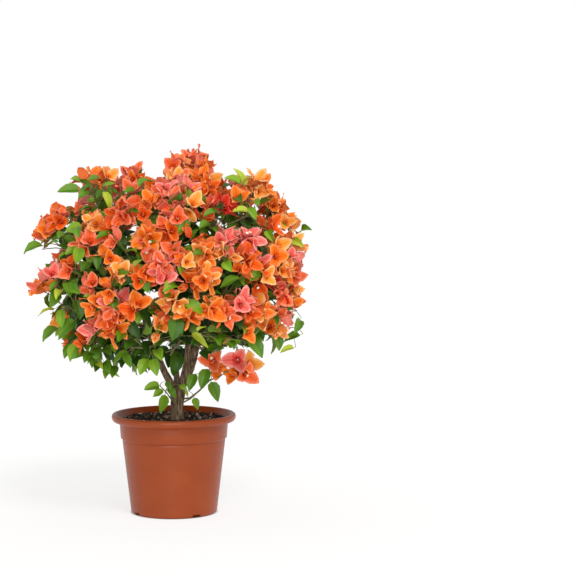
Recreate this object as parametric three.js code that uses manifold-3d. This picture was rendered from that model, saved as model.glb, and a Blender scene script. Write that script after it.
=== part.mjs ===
// A potted bougainvillea in full orange bloom: a short forked trunk in a terracotta-coloured
// plastic nursery pot, with a round crown of leafy twigs that end in three-bract blossoms.
// Sizes are millimetres, +Z is up, the origin is the middle of the pot's flat underside, and
// the plant is seen from the front by looking along +Y.
import * as THREE from "three";
import { mergeVertices } from "three/addons/utils/BufferGeometryUtils.js";
import Module from "manifold-3d";

const wasm = await Module();
wasm.setup();

// Driving sizes of the pot, a 30 cm injection-moulded nursery pot.
const POT_HEIGHT = 240;
const RIM = { radius: 150, inside: 138.5, roll: 4 };
const COLLAR = { foot: 128.5, top: 131, height: 21 };
const LEDGE = { radius: 124.5, low: 179, high: 183 };
const BASE_RADIUS = 104;
const FOOT_RING = 12;
const WALL = 2.5;
const FLOOR_TOP = 8;
const POT_SIDES = 32;
const NOTCH = { count: 4, first: -59, width: 22, height: 6, depth: 24 };
const DRAIN = { radius: 6, out: 62, sides: 8 };

// Driving sizes of the plant.
const SOIL_LEVEL = 226;
const CLEARANCE = 0.3;
const TRUNK = { foot: [8, 0], lean: [3, 2], height: 78, flare: 20, waist: 14.5, fork: 17.5 };
const HEART = new THREE.Vector3(-10, 0, 540);
const HEART_RADIUS = 150;
const SPRAY_COUNT = 202;
const LOWEST_SPRAY = -52;
const SKIRT_TOP = -20;
const EASING = { rounds: 60, apart: 0.25, fromWall: 0.1 };
const BLOOM = { least: 0.05, most: 0.9, from: -30, to: -10 };
const SEED = 4151;
const LEAF = { length: 80, width: 48, thickness: 2.8, fold: 6, droop: 8 };
const BLOSSOM = {
  bract: 60,
  width: 54,
  widest: 0.5,
  opening: 54,
  cleft: 11,
  curl: 5,
  thickness: 3.4,
  rolls: [0, 0.42, 0.84, 1.26, 1.68],
};
const TWIG = { stem: 7, hub: 6, branch: 3.3, fine: 3.1, tip: 1.5 };
const SPACE_MARGIN = 0.6;
const LIMB_MARGIN = 1.5;

// How a limb bends from its launch to its landing, and how its thickness falls, as shares.
const BEND = { launch: 0.42, landing: 0.34, taper: 0.8 };

// How a mass branches. The hub ends the stem, a knot ends each branch, and sprays end near the
// crown's outline: these are shares of its reach, with the spread that chance adds. Joints and
// roots are shares of the stem and the branch that they leave, and insets are millimetres.
const BRANCHING = {
  hub: 0.68,
  knot: 0.78,
  knotSpread: 0.05,
  end: 0.94,
  endSpread: 0.08,
  joint: 0.25,
  jointSpread: 0.65,
  innerJoint: 0.97,
  root: 0.97,
  rootSpread: 0.4,
  innerAngle: 0.17,
  sprays: 3,
  blossomInset: 44,
  leafInset: 72,
  offers: 8,
  offerStep: 0.04,
};
const GOLDEN_SHARE = 0.618;

// How a low shoot leaves the trunk: sunk in its surface, rising, and dividing near its ends.
const LOW_SHOOT = {
  sunk: 0.98,
  rise: 0.35,
  joint: 0.8,
  root: 0.97,
  rootStep: 0.07,
  blossom: 0.62,
  leaf: 0.8,
};

const COLOURS = {
  pot: { color: "#b4582f", roughness: 0.5, metalness: 0 },
  soil: { color: "#2b1d15", roughness: 0.95, metalness: 0 },
  bark: { color: "#6f5c49", roughness: 0.9, metalness: 0 },
  blossom: { color: "#ee6c35", roughness: 0.7, metalness: 0 },
  leaf: { color: "#4c8a2e", roughness: 0.6, metalness: 0 },
};

// How far the crown reaches from its heart, by rise above level: to the left, to the right, and to
// the front and back. Rises are in degrees.
const OUTLINE = [
  { rise: -56, left: 250, right: 245, depth: 250 },
  { rise: -36, left: 296, right: 279, depth: 280 },
  { rise: -21, left: 324, right: 305, depth: 305 },
  { rise: 0, left: 344, right: 330, depth: 325 },
  { rise: 14, left: 362, right: 340, depth: 332 },
  { rise: 31, left: 361, right: 344, depth: 336 },
  { rise: 54, left: 353, right: 352, depth: 338 },
  { rise: 90, left: 342, right: 342, depth: 342 },
];

// The crown's masses: the top, a ring in blossom, and a leafy skirt. Each one's wedge of the crown
// is the part that lies nearest its middle, and its stem grows out at its own rise. The turn goes
// from the front towards the right, in degrees.
const MASSES = [
  { name: "crown_top", turn: 90, middle: 86, stem: 86, look: "blossom" },
  { name: "crown_front", turn: 8, middle: 22, stem: 22, look: "blossom" },
  { name: "crown_right", turn: 69, middle: 22, stem: 22, look: "blossom" },
  { name: "crown_back_right", turn: 128, middle: 22, stem: 22, look: "blossom" },
  { name: "crown_back", turn: 188, middle: 22, stem: 22, look: "blossom" },
  { name: "crown_back_left", turn: 251, middle: 22, stem: 22, look: "blossom" },
  { name: "crown_left", turn: 310, middle: 22, stem: 22, look: "blossom" },
  { name: "skirt_front", turn: 12, middle: -60, stem: -33, look: "leaf" },
  { name: "skirt_right", turn: 84, middle: -60, stem: -33, look: "leaf" },
  { name: "skirt_back", turn: 158, middle: -60, stem: -33, look: "leaf" },
  { name: "skirt_back_left", turn: 228, middle: -60, stem: -33, look: "leaf" },
  { name: "skirt_left", turn: 300, middle: -60, stem: -33, look: "leaf" },
];

// The limbs. Four main boughs rise from the trunk's fork, and the others leave a main bough at a
// share of its length. Each ends at the mass that it carries.
const BOUGHS = [
  {
    name: "bough_centre",
    from: "trunk",
    at: 0.72,
    carries: "crown_top",
    radii: [11.5, 5.2],
    launch: [0.45, 0.02, 1],
  },
  {
    name: "bough_left",
    from: "trunk",
    at: 0.82,
    carries: "crown_back_left",
    radii: [9.5, 4.8],
    launch: [-0.8, 0, 1],
  },
  {
    name: "bough_right",
    from: "bough_centre",
    at: 0.07,
    carries: "crown_right",
    radii: [7.2, 4.8],
    launch: [0.6, 0.1, 1],
  },
  {
    name: "bough_back",
    from: "trunk",
    at: 0.8,
    carries: "crown_back",
    radii: [8.5, 4.8],
    launch: [-0.06, 0.6, 1],
  },
  { name: "branch_front", from: "bough_centre", at: 0.36, carries: "crown_front", radii: [5.6, 4.4] },
  { name: "branch_low_front", from: "bough_centre", at: 0.24, carries: "skirt_front", radii: [5, 4.2] },
  { name: "branch_low_right", from: "bough_right", at: 0.42, carries: "skirt_right", radii: [5, 4.2] },
  {
    name: "branch_back_right",
    from: "bough_back",
    at: 0.32,
    carries: "crown_back_right",
    radii: [5.6, 4.4],
  },
  { name: "branch_low_back", from: "bough_back", at: 0.44, carries: "skirt_back", radii: [5, 4.2] },
  { name: "branch_left", from: "bough_left", at: 0.34, carries: "crown_left", radii: [5.6, 4.4] },
  { name: "branch_low_left", from: "bough_left", at: 0.44, carries: "skirt_left", radii: [5, 4.2] },
  {
    name: "branch_low_back_left",
    from: "bough_left",
    at: 0.54,
    carries: "skirt_back_left",
    radii: [5, 4.2],
  },
];

// The low shoots that leave the trunk under the crown. Each keeps to a ball of its own.
const SHOOTS = [
  {
    name: "low_shoot_right",
    leaves: 0.62,
    centre: [140, -30, 348],
    radius: 70,
    ends: [
      { to: [112, -38, 360], blossoms: true },
      { to: [150, -46, 342], blossoms: true },
      { to: [172, -20, 332], blossoms: true },
      { to: [146, -16, 372], blossoms: true },
    ],
  },
  {
    name: "low_shoot_left",
    leaves: 0.5,
    centre: [-34, -26, 292],
    radius: 58,
    ends: [
      { to: [-42, -30, 318], blossoms: false },
      { to: [-30, -44, 296], blossoms: false },
      { to: [-12, -50, 300], blossoms: false },
    ],
  },
];

const radians = THREE.MathUtils.degToRad;

// A repeatable stream of numbers from 0 to 1.
function numbersFrom(seed) {
  let state = seed >>> 0;
  return () => {
    state = (state + 0x6d2b79f5) >>> 0;
    let mixed = Math.imul(state ^ (state >>> 15), 1 | state);
    mixed = (mixed + Math.imul(mixed ^ (mixed >>> 7), 61 | mixed)) ^ mixed;
    return ((mixed ^ (mixed >>> 14)) >>> 0) / 4294967296;
  };
}

// A unit direction from a turn and a rise in degrees.
function direction(turn, rise) {
  const [t, r] = [radians(turn), radians(rise)];
  return new THREE.Vector3(Math.sin(t) * Math.cos(r), -Math.cos(t) * Math.cos(r), Math.sin(r));
}

// Two unit vectors square to a direction and to each other, the second leaning up.
function squareTo(along) {
  const up = Math.abs(along.z) > 0.95 ? new THREE.Vector3(0, 1, 0) : new THREE.Vector3(0, 0, 1);
  const side = new THREE.Vector3().crossVectors(along, up).normalize();
  return [side, new THREE.Vector3().crossVectors(side, along).normalize()];
}

// A direction that opens by some degrees from an axis, on the side that the roll picks.
function opened(axis, degrees, roll) {
  const [side, top] = squareTo(axis);
  return axis
    .clone()
    .multiplyScalar(Math.cos(radians(degrees)))
    .addScaledVector(side, Math.sin(radians(degrees)) * Math.cos(roll))
    .addScaledVector(top, Math.sin(radians(degrees)) * Math.sin(roll))
    .normalize();
}

// Closed geometry as a solid that can be cut and joined.
function solidFrom(geometry) {
  const bare = geometry.index ? geometry.toNonIndexed() : geometry.clone();
  bare.deleteAttribute("normal");
  bare.deleteAttribute("uv");
  const merged = mergeVertices(bare, 1e-4);
  return new wasm.Manifold(
    new wasm.Mesh({
      numProp: 3,
      vertProperties: merged.attributes.position.array,
      triVerts: new Uint32Array(merged.index.array),
    }),
  );
}

// The largest single body of a solid, with sealed hollows filled and loose scraps dropped.
function wholeOf(solid) {
  const bodies = solid.decompose();
  return bodies.reduce((best, body) => (body.volume() > best.volume() ? body : best));
}

function geometryFrom(solid) {
  const { numProp, numVert, vertProperties, triVerts } = solid.getMesh();
  const places = new Float32Array(numVert * 3);
  for (let i = 0; i < numVert; i++) {
    places.set(vertProperties.subarray(i * numProp, i * numProp + 3), i * 3);
  }
  const geometry = new THREE.BufferGeometry();
  geometry.setAttribute("position", new THREE.BufferAttribute(places, 3));
  geometry.setIndex(new THREE.BufferAttribute(new Uint32Array(triVerts), 1));
  geometry.computeVertexNormals();
  return geometry;
}

// True when no edge has more than two faces, once corners too close for a file to tell apart are
// merged. Two blades that graze each other can leave such an edge.
function isPlain(solid) {
  const bare = geometryFrom(solid);
  bare.deleteAttribute("normal");
  const corners = mergeVertices(bare.toNonIndexed(), 1e-3).index.array;
  const uses = new Map();
  for (let i = 0; i < corners.length; i += 3) {
    const face = [corners[i], corners[i + 1], corners[i + 2]];
    if (new Set(face).size < 3) continue;
    for (let k = 0; k < 3; k++) {
      const ends = [face[k], face[(k + 1) % 3]].sort((a, b) => a - b).join();
      uses.set(ends, (uses.get(ends) ?? 0) + 1);
    }
  }
  return [...uses.values()].every((count) => count === 2);
}

function named(name, solid, look) {
  const mesh = new THREE.Mesh(geometryFrom(solid), new THREE.MeshStandardMaterial(look));
  mesh.name = name;
  return mesh;
}

// A ring of copies about the upright axis.
function ringOf(count, first, make) {
  return Array.from({ length: count }, (_, i) => {
    const geometry = make();
    geometry.rotateZ(radians(first + (360 * i) / count));
    return solidFrom(geometry);
  });
}

// A profile of [radius, height] points turned about the upright axis. It starts and ends on it.
function turned(profile) {
  const points = profile.map(([radius, height]) => new THREE.Vector2(radius, height));
  const geometry = new THREE.LatheGeometry(points, POT_SIDES);
  geometry.rotateX(Math.PI / 2);
  return solidFrom(geometry);
}

// The pot: a rolled rim, a tapered collar over the ledge where pots nest, a tapered body, and a foot
// ring round a recessed base that drains through notches.
function pot() {
  const collarTop = POT_HEIGHT - COLLAR.height;
  const outside = [
    [BASE_RADIUS - FOOT_RING, 0],
    [BASE_RADIUS - 3, 0],
    [BASE_RADIUS, 3],
    [LEDGE.radius, LEDGE.low],
    [COLLAR.foot, LEDGE.high],
    [COLLAR.top, collarTop],
    [RIM.radius - 11, collarTop + 2],
    [RIM.radius - 5, collarTop + 6],
    [RIM.radius, POT_HEIGHT - 8],
    [RIM.radius - 1, POT_HEIGHT - 2.5],
    [RIM.radius - RIM.roll, POT_HEIGHT],
    [RIM.inside + 2.5, POT_HEIGHT],
    [RIM.inside, POT_HEIGHT - 2],
  ];
  const under = [
    [0, 0],
    [28, 0],
    [30, NOTCH.height],
    [BASE_RADIUS - FOOT_RING - 2, NOTCH.height],
  ];
  const inside = innerWall().reverse();
  const notch = () => {
    const box = new THREE.BoxGeometry(NOTCH.width, NOTCH.depth, NOTCH.height + 4);
    return box.translate(0, -BASE_RADIUS, NOTCH.height / 2 - 2);
  };
  const drain = () => {
    const hole = new THREE.CylinderGeometry(DRAIN.radius, DRAIN.radius, 3 * FLOOR_TOP, DRAIN.sides);
    return hole.rotateX(Math.PI / 2).translate(0, -DRAIN.out, FLOOR_TOP);
  };
  const cuts = [
    ...ringOf(NOTCH.count, NOTCH.first, notch),
    ...ringOf(NOTCH.count, NOTCH.first + 45, drain),
  ];
  const whole = turned([...under, ...outside, ...inside, [0, FLOOR_TOP]]);
  return whole.subtract(wasm.Manifold.union(cuts));
}

// The inner face of the pot's wall, from its floor to the foot of the rim.
function innerWall() {
  return [
    [BASE_RADIUS + 0.5 - WALL, FLOOR_TOP],
    [LEDGE.radius - WALL, LEDGE.low],
    [COLLAR.foot - WALL, LEDGE.high + 0.5],
    [COLLAR.top - WALL, POT_HEIGHT - COLLAR.height],
  ];
}

// The potting mix fills the pot to a little under the rim, just clear of its wall.
function pottingMix() {
  const clear = 2 * CLEARANCE;
  const bottom = FLOOR_TOP + CLEARANCE;
  const [foot, ...wall] = innerWall();
  const collarTop = POT_HEIGHT - COLLAR.height;
  const slope = (RIM.inside - COLLAR.top + WALL) / (COLLAR.height - 2);
  const atLevel = COLLAR.top - WALL + slope * (SOIL_LEVEL - collarTop);
  return turned([
    [0, bottom],
    [foot[0] - clear, bottom],
    ...wall.map(([radius, height]) => [radius - clear, height]),
    [atLevel - clear, SOIL_LEVEL],
    [0, SOIL_LEVEL],
  ]);
}

// A round limb that follows a curve, with its radius worked out along it.
function limb(curve, radiusAt, sides, steps) {
  const geometry = new THREE.CylinderGeometry(1, 1, 1, sides, steps);
  const { normals, binormals } = curve.computeFrenetFrames(steps, false);
  const places = geometry.attributes.position;
  const point = new THREE.Vector3();
  for (let i = 0; i < places.count; i++) {
    const ring = Math.round((places.getY(i) + 0.5) * steps);
    const share = ring / steps;
    curve.getPointAt(share, point);
    point.addScaledVector(normals[ring], places.getX(i) * radiusAt(share));
    point.addScaledVector(binormals[ring], -places.getZ(i) * radiusAt(share));
    places.setXYZ(i, point.x, point.y, point.z);
  }
  return solidFrom(geometry);
}

// The trunk's middle line, from the soil to the fork.
function trunkLine() {
  const [x, y] = TRUNK.foot;
  const [leanX, leanY] = TRUNK.lean;
  return new THREE.CatmullRomCurve3([
    new THREE.Vector3(x, y, SOIL_LEVEL + CLEARANCE),
    new THREE.Vector3(x, y, SOIL_LEVEL + 0.25 * TRUNK.height),
    new THREE.Vector3(x + leanX, y + leanY, SOIL_LEVEL + TRUNK.height),
  ]);
}

// The root flare spreads over the lowest tenth, and the stem swells again under the fork.
function trunkRadius(share) {
  const flare = (TRUNK.flare - TRUNK.waist) * Math.exp(-share / 0.1);
  const swelling = (TRUNK.fork - TRUNK.waist) * THREE.MathUtils.smoothstep(share, 0.45, 0.85);
  const crest = Math.max(0, share - 0.88) * 50;
  return TRUNK.waist + flare + swelling - crest;
}

// Every limb's middle line, radius and heading, worked out from the tables above.
function limbLines() {
  const trunk = { name: "trunk", line: trunkLine(), radiusAt: trunkRadius, sides: 14, steps: 10 };
  const lines = new Map([["trunk", trunk]]);
  for (const bough of BOUGHS) {
    const parent = lines.get(bough.from);
    const mass = MASSES.find((m) => m.name === bough.carries);
    const out = direction(mass.turn, mass.stem);
    const start = parent.line.getPointAt(bough.at);
    const end = HEART.clone().addScaledVector(out, HEART_RADIUS);
    const reach = start.distanceTo(end);
    const launch = bough.launch
      ? new THREE.Vector3(...bough.launch).normalize()
      : parent.line.getTangentAt(bough.at).add(out).add(new THREE.Vector3(0, 0, 0.3)).normalize();
    const line = new THREE.CubicBezierCurve3(
      start,
      start.clone().addScaledVector(launch, BEND.launch * reach),
      end.clone().addScaledVector(out, -BEND.landing * reach),
      end,
    );
    const [thick, thin] = bough.radii;
    const main = Boolean(bough.launch);
    lines.set(bough.name, {
      name: bough.name,
      line,
      radiusAt: (share) => THREE.MathUtils.lerp(thick, thin, Math.pow(share, BEND.taper)),
      sides: main ? 8 : 6,
      steps: main ? 9 : 5,
      tip: end,
      out,
    });
  }
  return lines;
}

// The limbs as solids. Each is cut clear of the ones that it leaves, by the clearance.
function limbSolids(lines) {
  const made = new Map();
  const grown = [];
  for (const { name, line, radiusAt, sides, steps } of lines.values()) {
    let solid = limb(line, radiusAt, sides, steps);
    if (grown.length) solid = wholeOf(solid.subtract(wasm.Manifold.union(grown)));
    made.set(name, solid);
    grown.push(limb(line, (share) => radiusAt(share) + CLEARANCE, sides, steps));
  }
  return made;
}

// The room that the limbs take up, which foliage keeps out of.
function limbRoom(lines) {
  const grown = [...lines.values()].map(({ line, radiusAt, sides, steps }) =>
    limb(line, (share) => radiusAt(share) + LIMB_MARGIN, sides, steps),
  );
  return wasm.Manifold.union(grown);
}

// A pointed leaf: a blade of eight faces, folded along its middle rib.
function blade(root, along, face, size) {
  const across = new THREE.Vector3().crossVectors(face, along);
  const at = (share, aside, raised) =>
    root
      .clone()
      .addScaledVector(along, size.length * share)
      .addScaledVector(across, aside)
      .addScaledVector(face, raised);
  return [
    at(0, 0, 0),
    at(0.42, -size.width / 2, size.fold),
    at(1, 0, -size.droop),
    at(0.42, size.width / 2, size.fold),
    at(0.45, 0, size.thickness / 2),
    at(0.45, 0, -size.thickness / 2),
  ];
}
const BLADE_FACES = [0, 4, 1, 1, 4, 2, 2, 4, 3, 3, 4, 0, 0, 1, 5, 1, 2, 5, 2, 3, 5, 3, 0, 5];

// The three corners of a twig's end, square to its run.
function corners(centre, along, radius) {
  const [side, top] = squareTo(along);
  return [0, 1, 2].map((i) =>
    centre
      .clone()
      .addScaledVector(side, radius * Math.cos((i * 2 * Math.PI) / 3))
      .addScaledVector(top, radius * Math.sin((i * 2 * Math.PI) / 3)),
  );
}

// A blossom on its stalk. Three pointed bracts, grown together at the root, open like a cup, and
// the outline runs from cleft to widest point to tip and back round a middle that is thicker.
function blossom(root, foot, axis, roll, scale) {
  const stalk = new THREE.Vector3().subVectors(foot, root).normalize();
  const start = corners(root, stalk, TWIG.tip);
  const neck = corners(foot, stalk, TWIG.tip);
  const first = new THREE.Vector3().subVectors(neck[0], foot);
  const side = first.addScaledVector(axis, -first.dot(axis)).normalize();
  const top = new THREE.Vector3().crossVectors(side, axis);
  const at = (turn, out, along) =>
    foot
      .clone()
      .addScaledVector(side, scale * out * Math.cos(turn + roll))
      .addScaledVector(top, scale * out * Math.sin(turn + roll))
      .addScaledVector(axis, scale * along);
  const open = radians(BLOSSOM.opening);
  const widest = BLOSSOM.bract * BLOSSOM.widest;
  const spread = Math.atan2(BLOSSOM.width / 2, widest * Math.sin(open));
  const aside = Math.hypot(BLOSSOM.width / 2, widest * Math.sin(open));
  const third = (2 * Math.PI) / 3;
  const outline = [0, 1, 2].flatMap((i) => [
    at((i - 0.5) * third, BLOSSOM.cleft, BLOSSOM.cleft * 0.7),
    at(i * third - spread, aside, widest * Math.cos(open) + BLOSSOM.curl),
    at(i * third, BLOSSOM.bract * Math.sin(open), BLOSSOM.bract * Math.cos(open)),
    at(i * third + spread, aside, widest * Math.cos(open) + BLOSSOM.curl),
  ]);
  return [...outline, at(0, 0, BLOSSOM.thickness), ...neck, ...start];
}
const BLOSSOM_FACES = [0, 1, 2].flatMap((i) => {
  const run = [0, 1, 2, 3, 4].map((k) => (4 * i + k) % 12);
  const [here, next] = [13 + i, 13 + ((i + 1) % 3)];
  return [0, 1, 2, 3]
    .flatMap((k) => [run[k], run[k + 1], 12, run[k + 1], run[k], here])
    .concat([run[4], here, next, here, here + 3, next, next, here + 3, next + 3]);
}).concat([18, 17, 16]);

// A three-sided tapering twig from one point to another.
function twig(from, to, thick, thin) {
  const along = new THREE.Vector3().subVectors(to, from).normalize();
  return [...corners(from, along, thick), ...corners(to, along, thin)];
}
const TWIG_FACES = [0, 1, 2, 3, 5, 4, 0, 3, 4, 0, 4, 1, 1, 4, 5, 1, 5, 2, 2, 5, 3, 2, 3, 0];

// Corner points and faces as a solid with its faces pointing out.
function solidOf(points, faces) {
  const vertProperties = new Float32Array(points.flatMap((p) => [p.x, p.y, p.z]));
  const build = (triVerts) =>
    new wasm.Manifold(new wasm.Mesh({ numProp: 3, vertProperties, triVerts }));
  const solid = build(new Uint32Array(faces));
  return solid.volume() > 0 ? solid : build(new Uint32Array(faces).reverse());
}

// The walls of a mass's wedge: planes through the heart, half way to each neighbour's middle.
const WEDGES = MASSES.map((m) => direction(m.turn, m.middle));
const WALLS = WEDGES.map((own) =>
  WEDGES.filter((other) => other !== own).map((other) => own.clone().sub(other).normalize()),
);

// The places where sprays end: an even lattice of directions over the crown, closer in the skirt,
// each given to the mass that it lies nearest, then eased apart and away from the wedge's walls.
function sprayPlaces() {
  const golden = Math.PI * (3 - Math.sqrt(5));
  const places = MASSES.map(() => []);
  for (let i = 0; i < SPRAY_COUNT; i += 0.5) {
    const height = 1 - (2 * i + 1) / SPRAY_COUNT;
    const skipped = i % 1 > 0 && (i % 2 > 1 || height > Math.sin(radians(SKIRT_TOP)));
    if (skipped || height < Math.sin(radians(LOWEST_SPRAY))) continue;
    const ring = Math.sqrt(1 - height * height);
    const out = new THREE.Vector3(ring * Math.sin(i * golden), -ring * Math.cos(i * golden), height);
    const nearness = WEDGES.map((wedge) => wedge.dot(out));
    places[nearness.indexOf(Math.max(...nearness))].push(out);
  }
  for (let round = 0; round < EASING.rounds; round++) {
    places.forEach((own, index) => easeApart(own, WALLS[index]));
  }
  return places;
}

function easeApart(places, walls) {
  const moves = places.map((place) => {
    const move = new THREE.Vector3();
    for (const other of places) {
      const away = new THREE.Vector3().subVectors(place, other);
      const short = EASING.apart - away.length();
      if (other !== place && short > 0) move.addScaledVector(away.normalize(), 0.3 * short);
    }
    for (const wall of walls) {
      move.addScaledVector(wall, 0.6 * Math.max(0, EASING.fromWall - wall.dot(place)));
    }
    move.z += 0.5 * Math.max(0, Math.sin(radians(LOWEST_SPRAY)) - place.z);
    return move;
  });
  places.forEach((place, i) => place.add(moves[i]).normalize());
}

function riseOf(out) {
  return THREE.MathUtils.radToDeg(Math.asin(out.z));
}

// How far the crown reaches in a direction, read off the outline.
function crownReach(out) {
  const rise = Math.max(riseOf(out), OUTLINE[0].rise);
  const next = Math.max(1, OUTLINE.findIndex((row) => row.rise >= rise));
  const [low, high] = [OUTLINE[next - 1], OUTLINE[next]];
  const between = (rise - low.rise) / (high.rise - low.rise);
  const at = (key) => THREE.MathUtils.lerp(low[key], high[key], between);
  const sideways = out.x ** 2 / (out.x ** 2 + out.y ** 2);
  return THREE.MathUtils.lerp(at("depth"), at(out.x < 0 ? "left" : "right"), sideways);
}

// The share of sprays that blossom at a rise: nearly all over the crown, and few in the skirt.
function bloomShare(out) {
  const share = THREE.MathUtils.smoothstep(riseOf(out), BLOOM.from, BLOOM.to);
  return THREE.MathUtils.lerp(BLOOM.least, BLOOM.most, share);
}

// The space of a crown mass: a wedge that widens from the heart, clear of its neighbours' wedges
// and of the low shoots' balls.
function wedgeSpace(index) {
  return (point) => {
    const from = point.clone().sub(HEART);
    const clearOfShoots = SHOOTS.every(
      (s) => point.distanceTo(new THREE.Vector3(...s.centre)) > s.radius + SPACE_MARGIN,
    );
    return clearOfShoots && WALLS[index].every((wall) => wall.dot(from) > SPACE_MARGIN);
  };
}

// Gathers one mass's twigs, leaves and bracts, leaving out any that would leave the mass's space
// or touch a limb, and fuses the rest.
class Growth {
  constructor(inside, taken) {
    this.inside = inside;
    this.taken = taken;
    this.pieces = [];
  }

  // A piece as a solid, or null where there is no room for it.
  fitted(points, faces) {
    if (!points.every(this.inside)) return null;
    const solid = solidOf(points, faces);
    return this.taken.intersect(solid).isEmpty() ? solid : null;
  }

  // Keeps a piece if there is room for it, and tells whether there was.
  keep(points, faces) {
    const solid = this.fitted(points, faces);
    if (solid) this.pieces.push(solid);
    return solid !== null;
  }

  twig(from, to, thick, thin) {
    return this.keep(twig(from, to, thick, thin), TWIG_FACES);
  }

  // A blossom at the first offered foot and roll that has room and crosses only its own branch,
  // or else at the one that crosses least.
  blossom(root, feet, scale) {
    let [best, fewest] = [null, Infinity];
    for (const { foot, axis } of feet) {
      for (const roll of BLOSSOM.rolls) {
        const solid = this.fitted(blossom(root, foot, axis, roll, scale), BLOSSOM_FACES);
        if (!solid) continue;
        const crossed = this.pieces.filter((piece) => !piece.intersect(solid).isEmpty()).length;
        if (crossed < fewest) [best, fewest] = [solid, crossed];
        if (fewest < 2) break;
      }
      if (fewest < 2) break;
    }
    if (best) this.pieces.push(best);
  }

  // A leaf that leaves its twig at an angle and hangs a little.
  leaf(root, along, opening, roll, scale) {
    const size = { ...LEAF, length: LEAF.length * scale, width: LEAF.width * scale };
    const out = opened(along, opening, roll).add(new THREE.Vector3(0, 0, -0.25)).normalize();
    const upper = new THREE.Vector3(0, 0, 1).addScaledVector(along, 0.4);
    const face = upper.addScaledVector(out, -upper.dot(out)).normalize();
    return this.keep(blade(root, out, face, size), BLADE_FACES);
  }

  // A leafy sprig: a fine twig with a leaf at its end and one to either side further back.
  leafySprig(root, end, roll, scale) {
    const along = new THREE.Vector3().subVectors(end, root).normalize();
    if (!this.twig(root, end, TWIG.tip, TWIG.tip)) return false;
    this.leaf(end.clone().addScaledVector(along, -2), along, 12, roll, scale);
    this.leaf(end.clone().addScaledVector(along, -9), along, 62, roll + 1.6, scale);
    this.leaf(end.clone().addScaledVector(along, -18), along, 66, roll - 1.6, 0.95 * scale);
    return true;
  }

  solid() {
    return wholeOf(wasm.Manifold.union(this.pieces).simplify(0.02));
  }
}

// A crown mass: a stem from its bough's tip, branches that leave the stem towards groups of
// neighbouring spray places, and a spray of bracts or leaves at each.
function crownMass(index, places, lines, taken, attempt) {
  const mass = MASSES[index];
  const random = numbersFrom(SEED + index + 100 * attempt);
  const carrier = lines.get(BOUGHS.find((bough) => bough.carries === mass.name).name);
  const growth = new Growth(wedgeSpace(index), taken);
  const [side, top] = squareTo(carrier.out);
  const foot = carrier.tip.clone().addScaledVector(carrier.out, CLEARANCE);
  const hub = HEART.clone().addScaledVector(carrier.out, BRANCHING.hub * crownReach(carrier.out));
  growth.pieces.push(solidOf(twig(foot, hub, TWIG.stem, TWIG.hub), TWIG_FACES));

  const roundOf = (out) => Math.atan2(out.dot(top), out.dot(side));
  const ordered = [...places].sort((a, b) => roundOf(a) - roundOf(b));
  const inner = ordered.filter((out) => out.angleTo(carrier.out) < BRANCHING.innerAngle);
  const outer = ordered.filter((out) => !inner.includes(out));
  const groupCount = Math.max(1, Math.round(outer.length / BRANCHING.sprays));
  const groups = Array.from({ length: groupCount }, (_, g) =>
    outer.filter((_, i) => Math.floor((i * groupCount) / outer.length) === g),
  );
  if (inner.length) groups.push(inner);

  groups.forEach((group, g) => {
    const mean = group.reduce((sum, out) => sum.add(out), new THREE.Vector3()).normalize();
    const spread = BRANCHING.jointSpread * ((g * GOLDEN_SHARE) % 1);
    const leaves = group === inner ? BRANCHING.innerJoint : BRANCHING.joint + spread;
    const joint = new THREE.Vector3().lerpVectors(foot, hub, leaves);
    const knotShare = BRANCHING.knot + BRANCHING.knotSpread * random();
    const knot = HEART.clone().addScaledVector(mean, knotShare * crownReach(mean));
    if (!growth.twig(joint, knot, TWIG.branch, TWIG.fine)) return;
    group.forEach((out, i) => {
      const blooms = random() < bloomShare(out);
      const rootShare = BRANCHING.root - (BRANCHING.rootSpread * i) / group.length;
      const root = new THREE.Vector3().lerpVectors(joint, knot, rootShare);
      const share = BRANCHING.end + BRANCHING.endSpread * random();
      const roll = 2 * Math.PI * random();
      const scale = 0.92 + 0.18 * random();
      const inset = blooms ? BRANCHING.blossomInset : BRANCHING.leafInset;
      const feet = Array.from({ length: BRANCHING.offers }, (_, nudge) => {
        const place = out.clone().lerp(carrier.out, BRANCHING.offerStep * nudge).normalize();
        const axis = place.clone().multiplyScalar(2).add(new THREE.Vector3(0, 0, 0.4)).normalize();
        const end = HEART.clone().addScaledVector(place, crownReach(place) * share - inset);
        return { foot: end, axis };
      });
      if (blooms) growth.blossom(root, feet, scale);
      else feet.some(({ foot: end }) => growth.leafySprig(root, end, roll, scale));
    });
  });
  return growth.solid();
}

// Grows something again, from another seed, until it makes a plain solid.
function grownPlain(grow) {
  for (let attempt = 0; attempt < 20; attempt++) {
    const solid = grow(attempt);
    if (isPlain(solid)) return solid;
  }
  throw new Error("no attempt made a plain solid");
}

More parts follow.
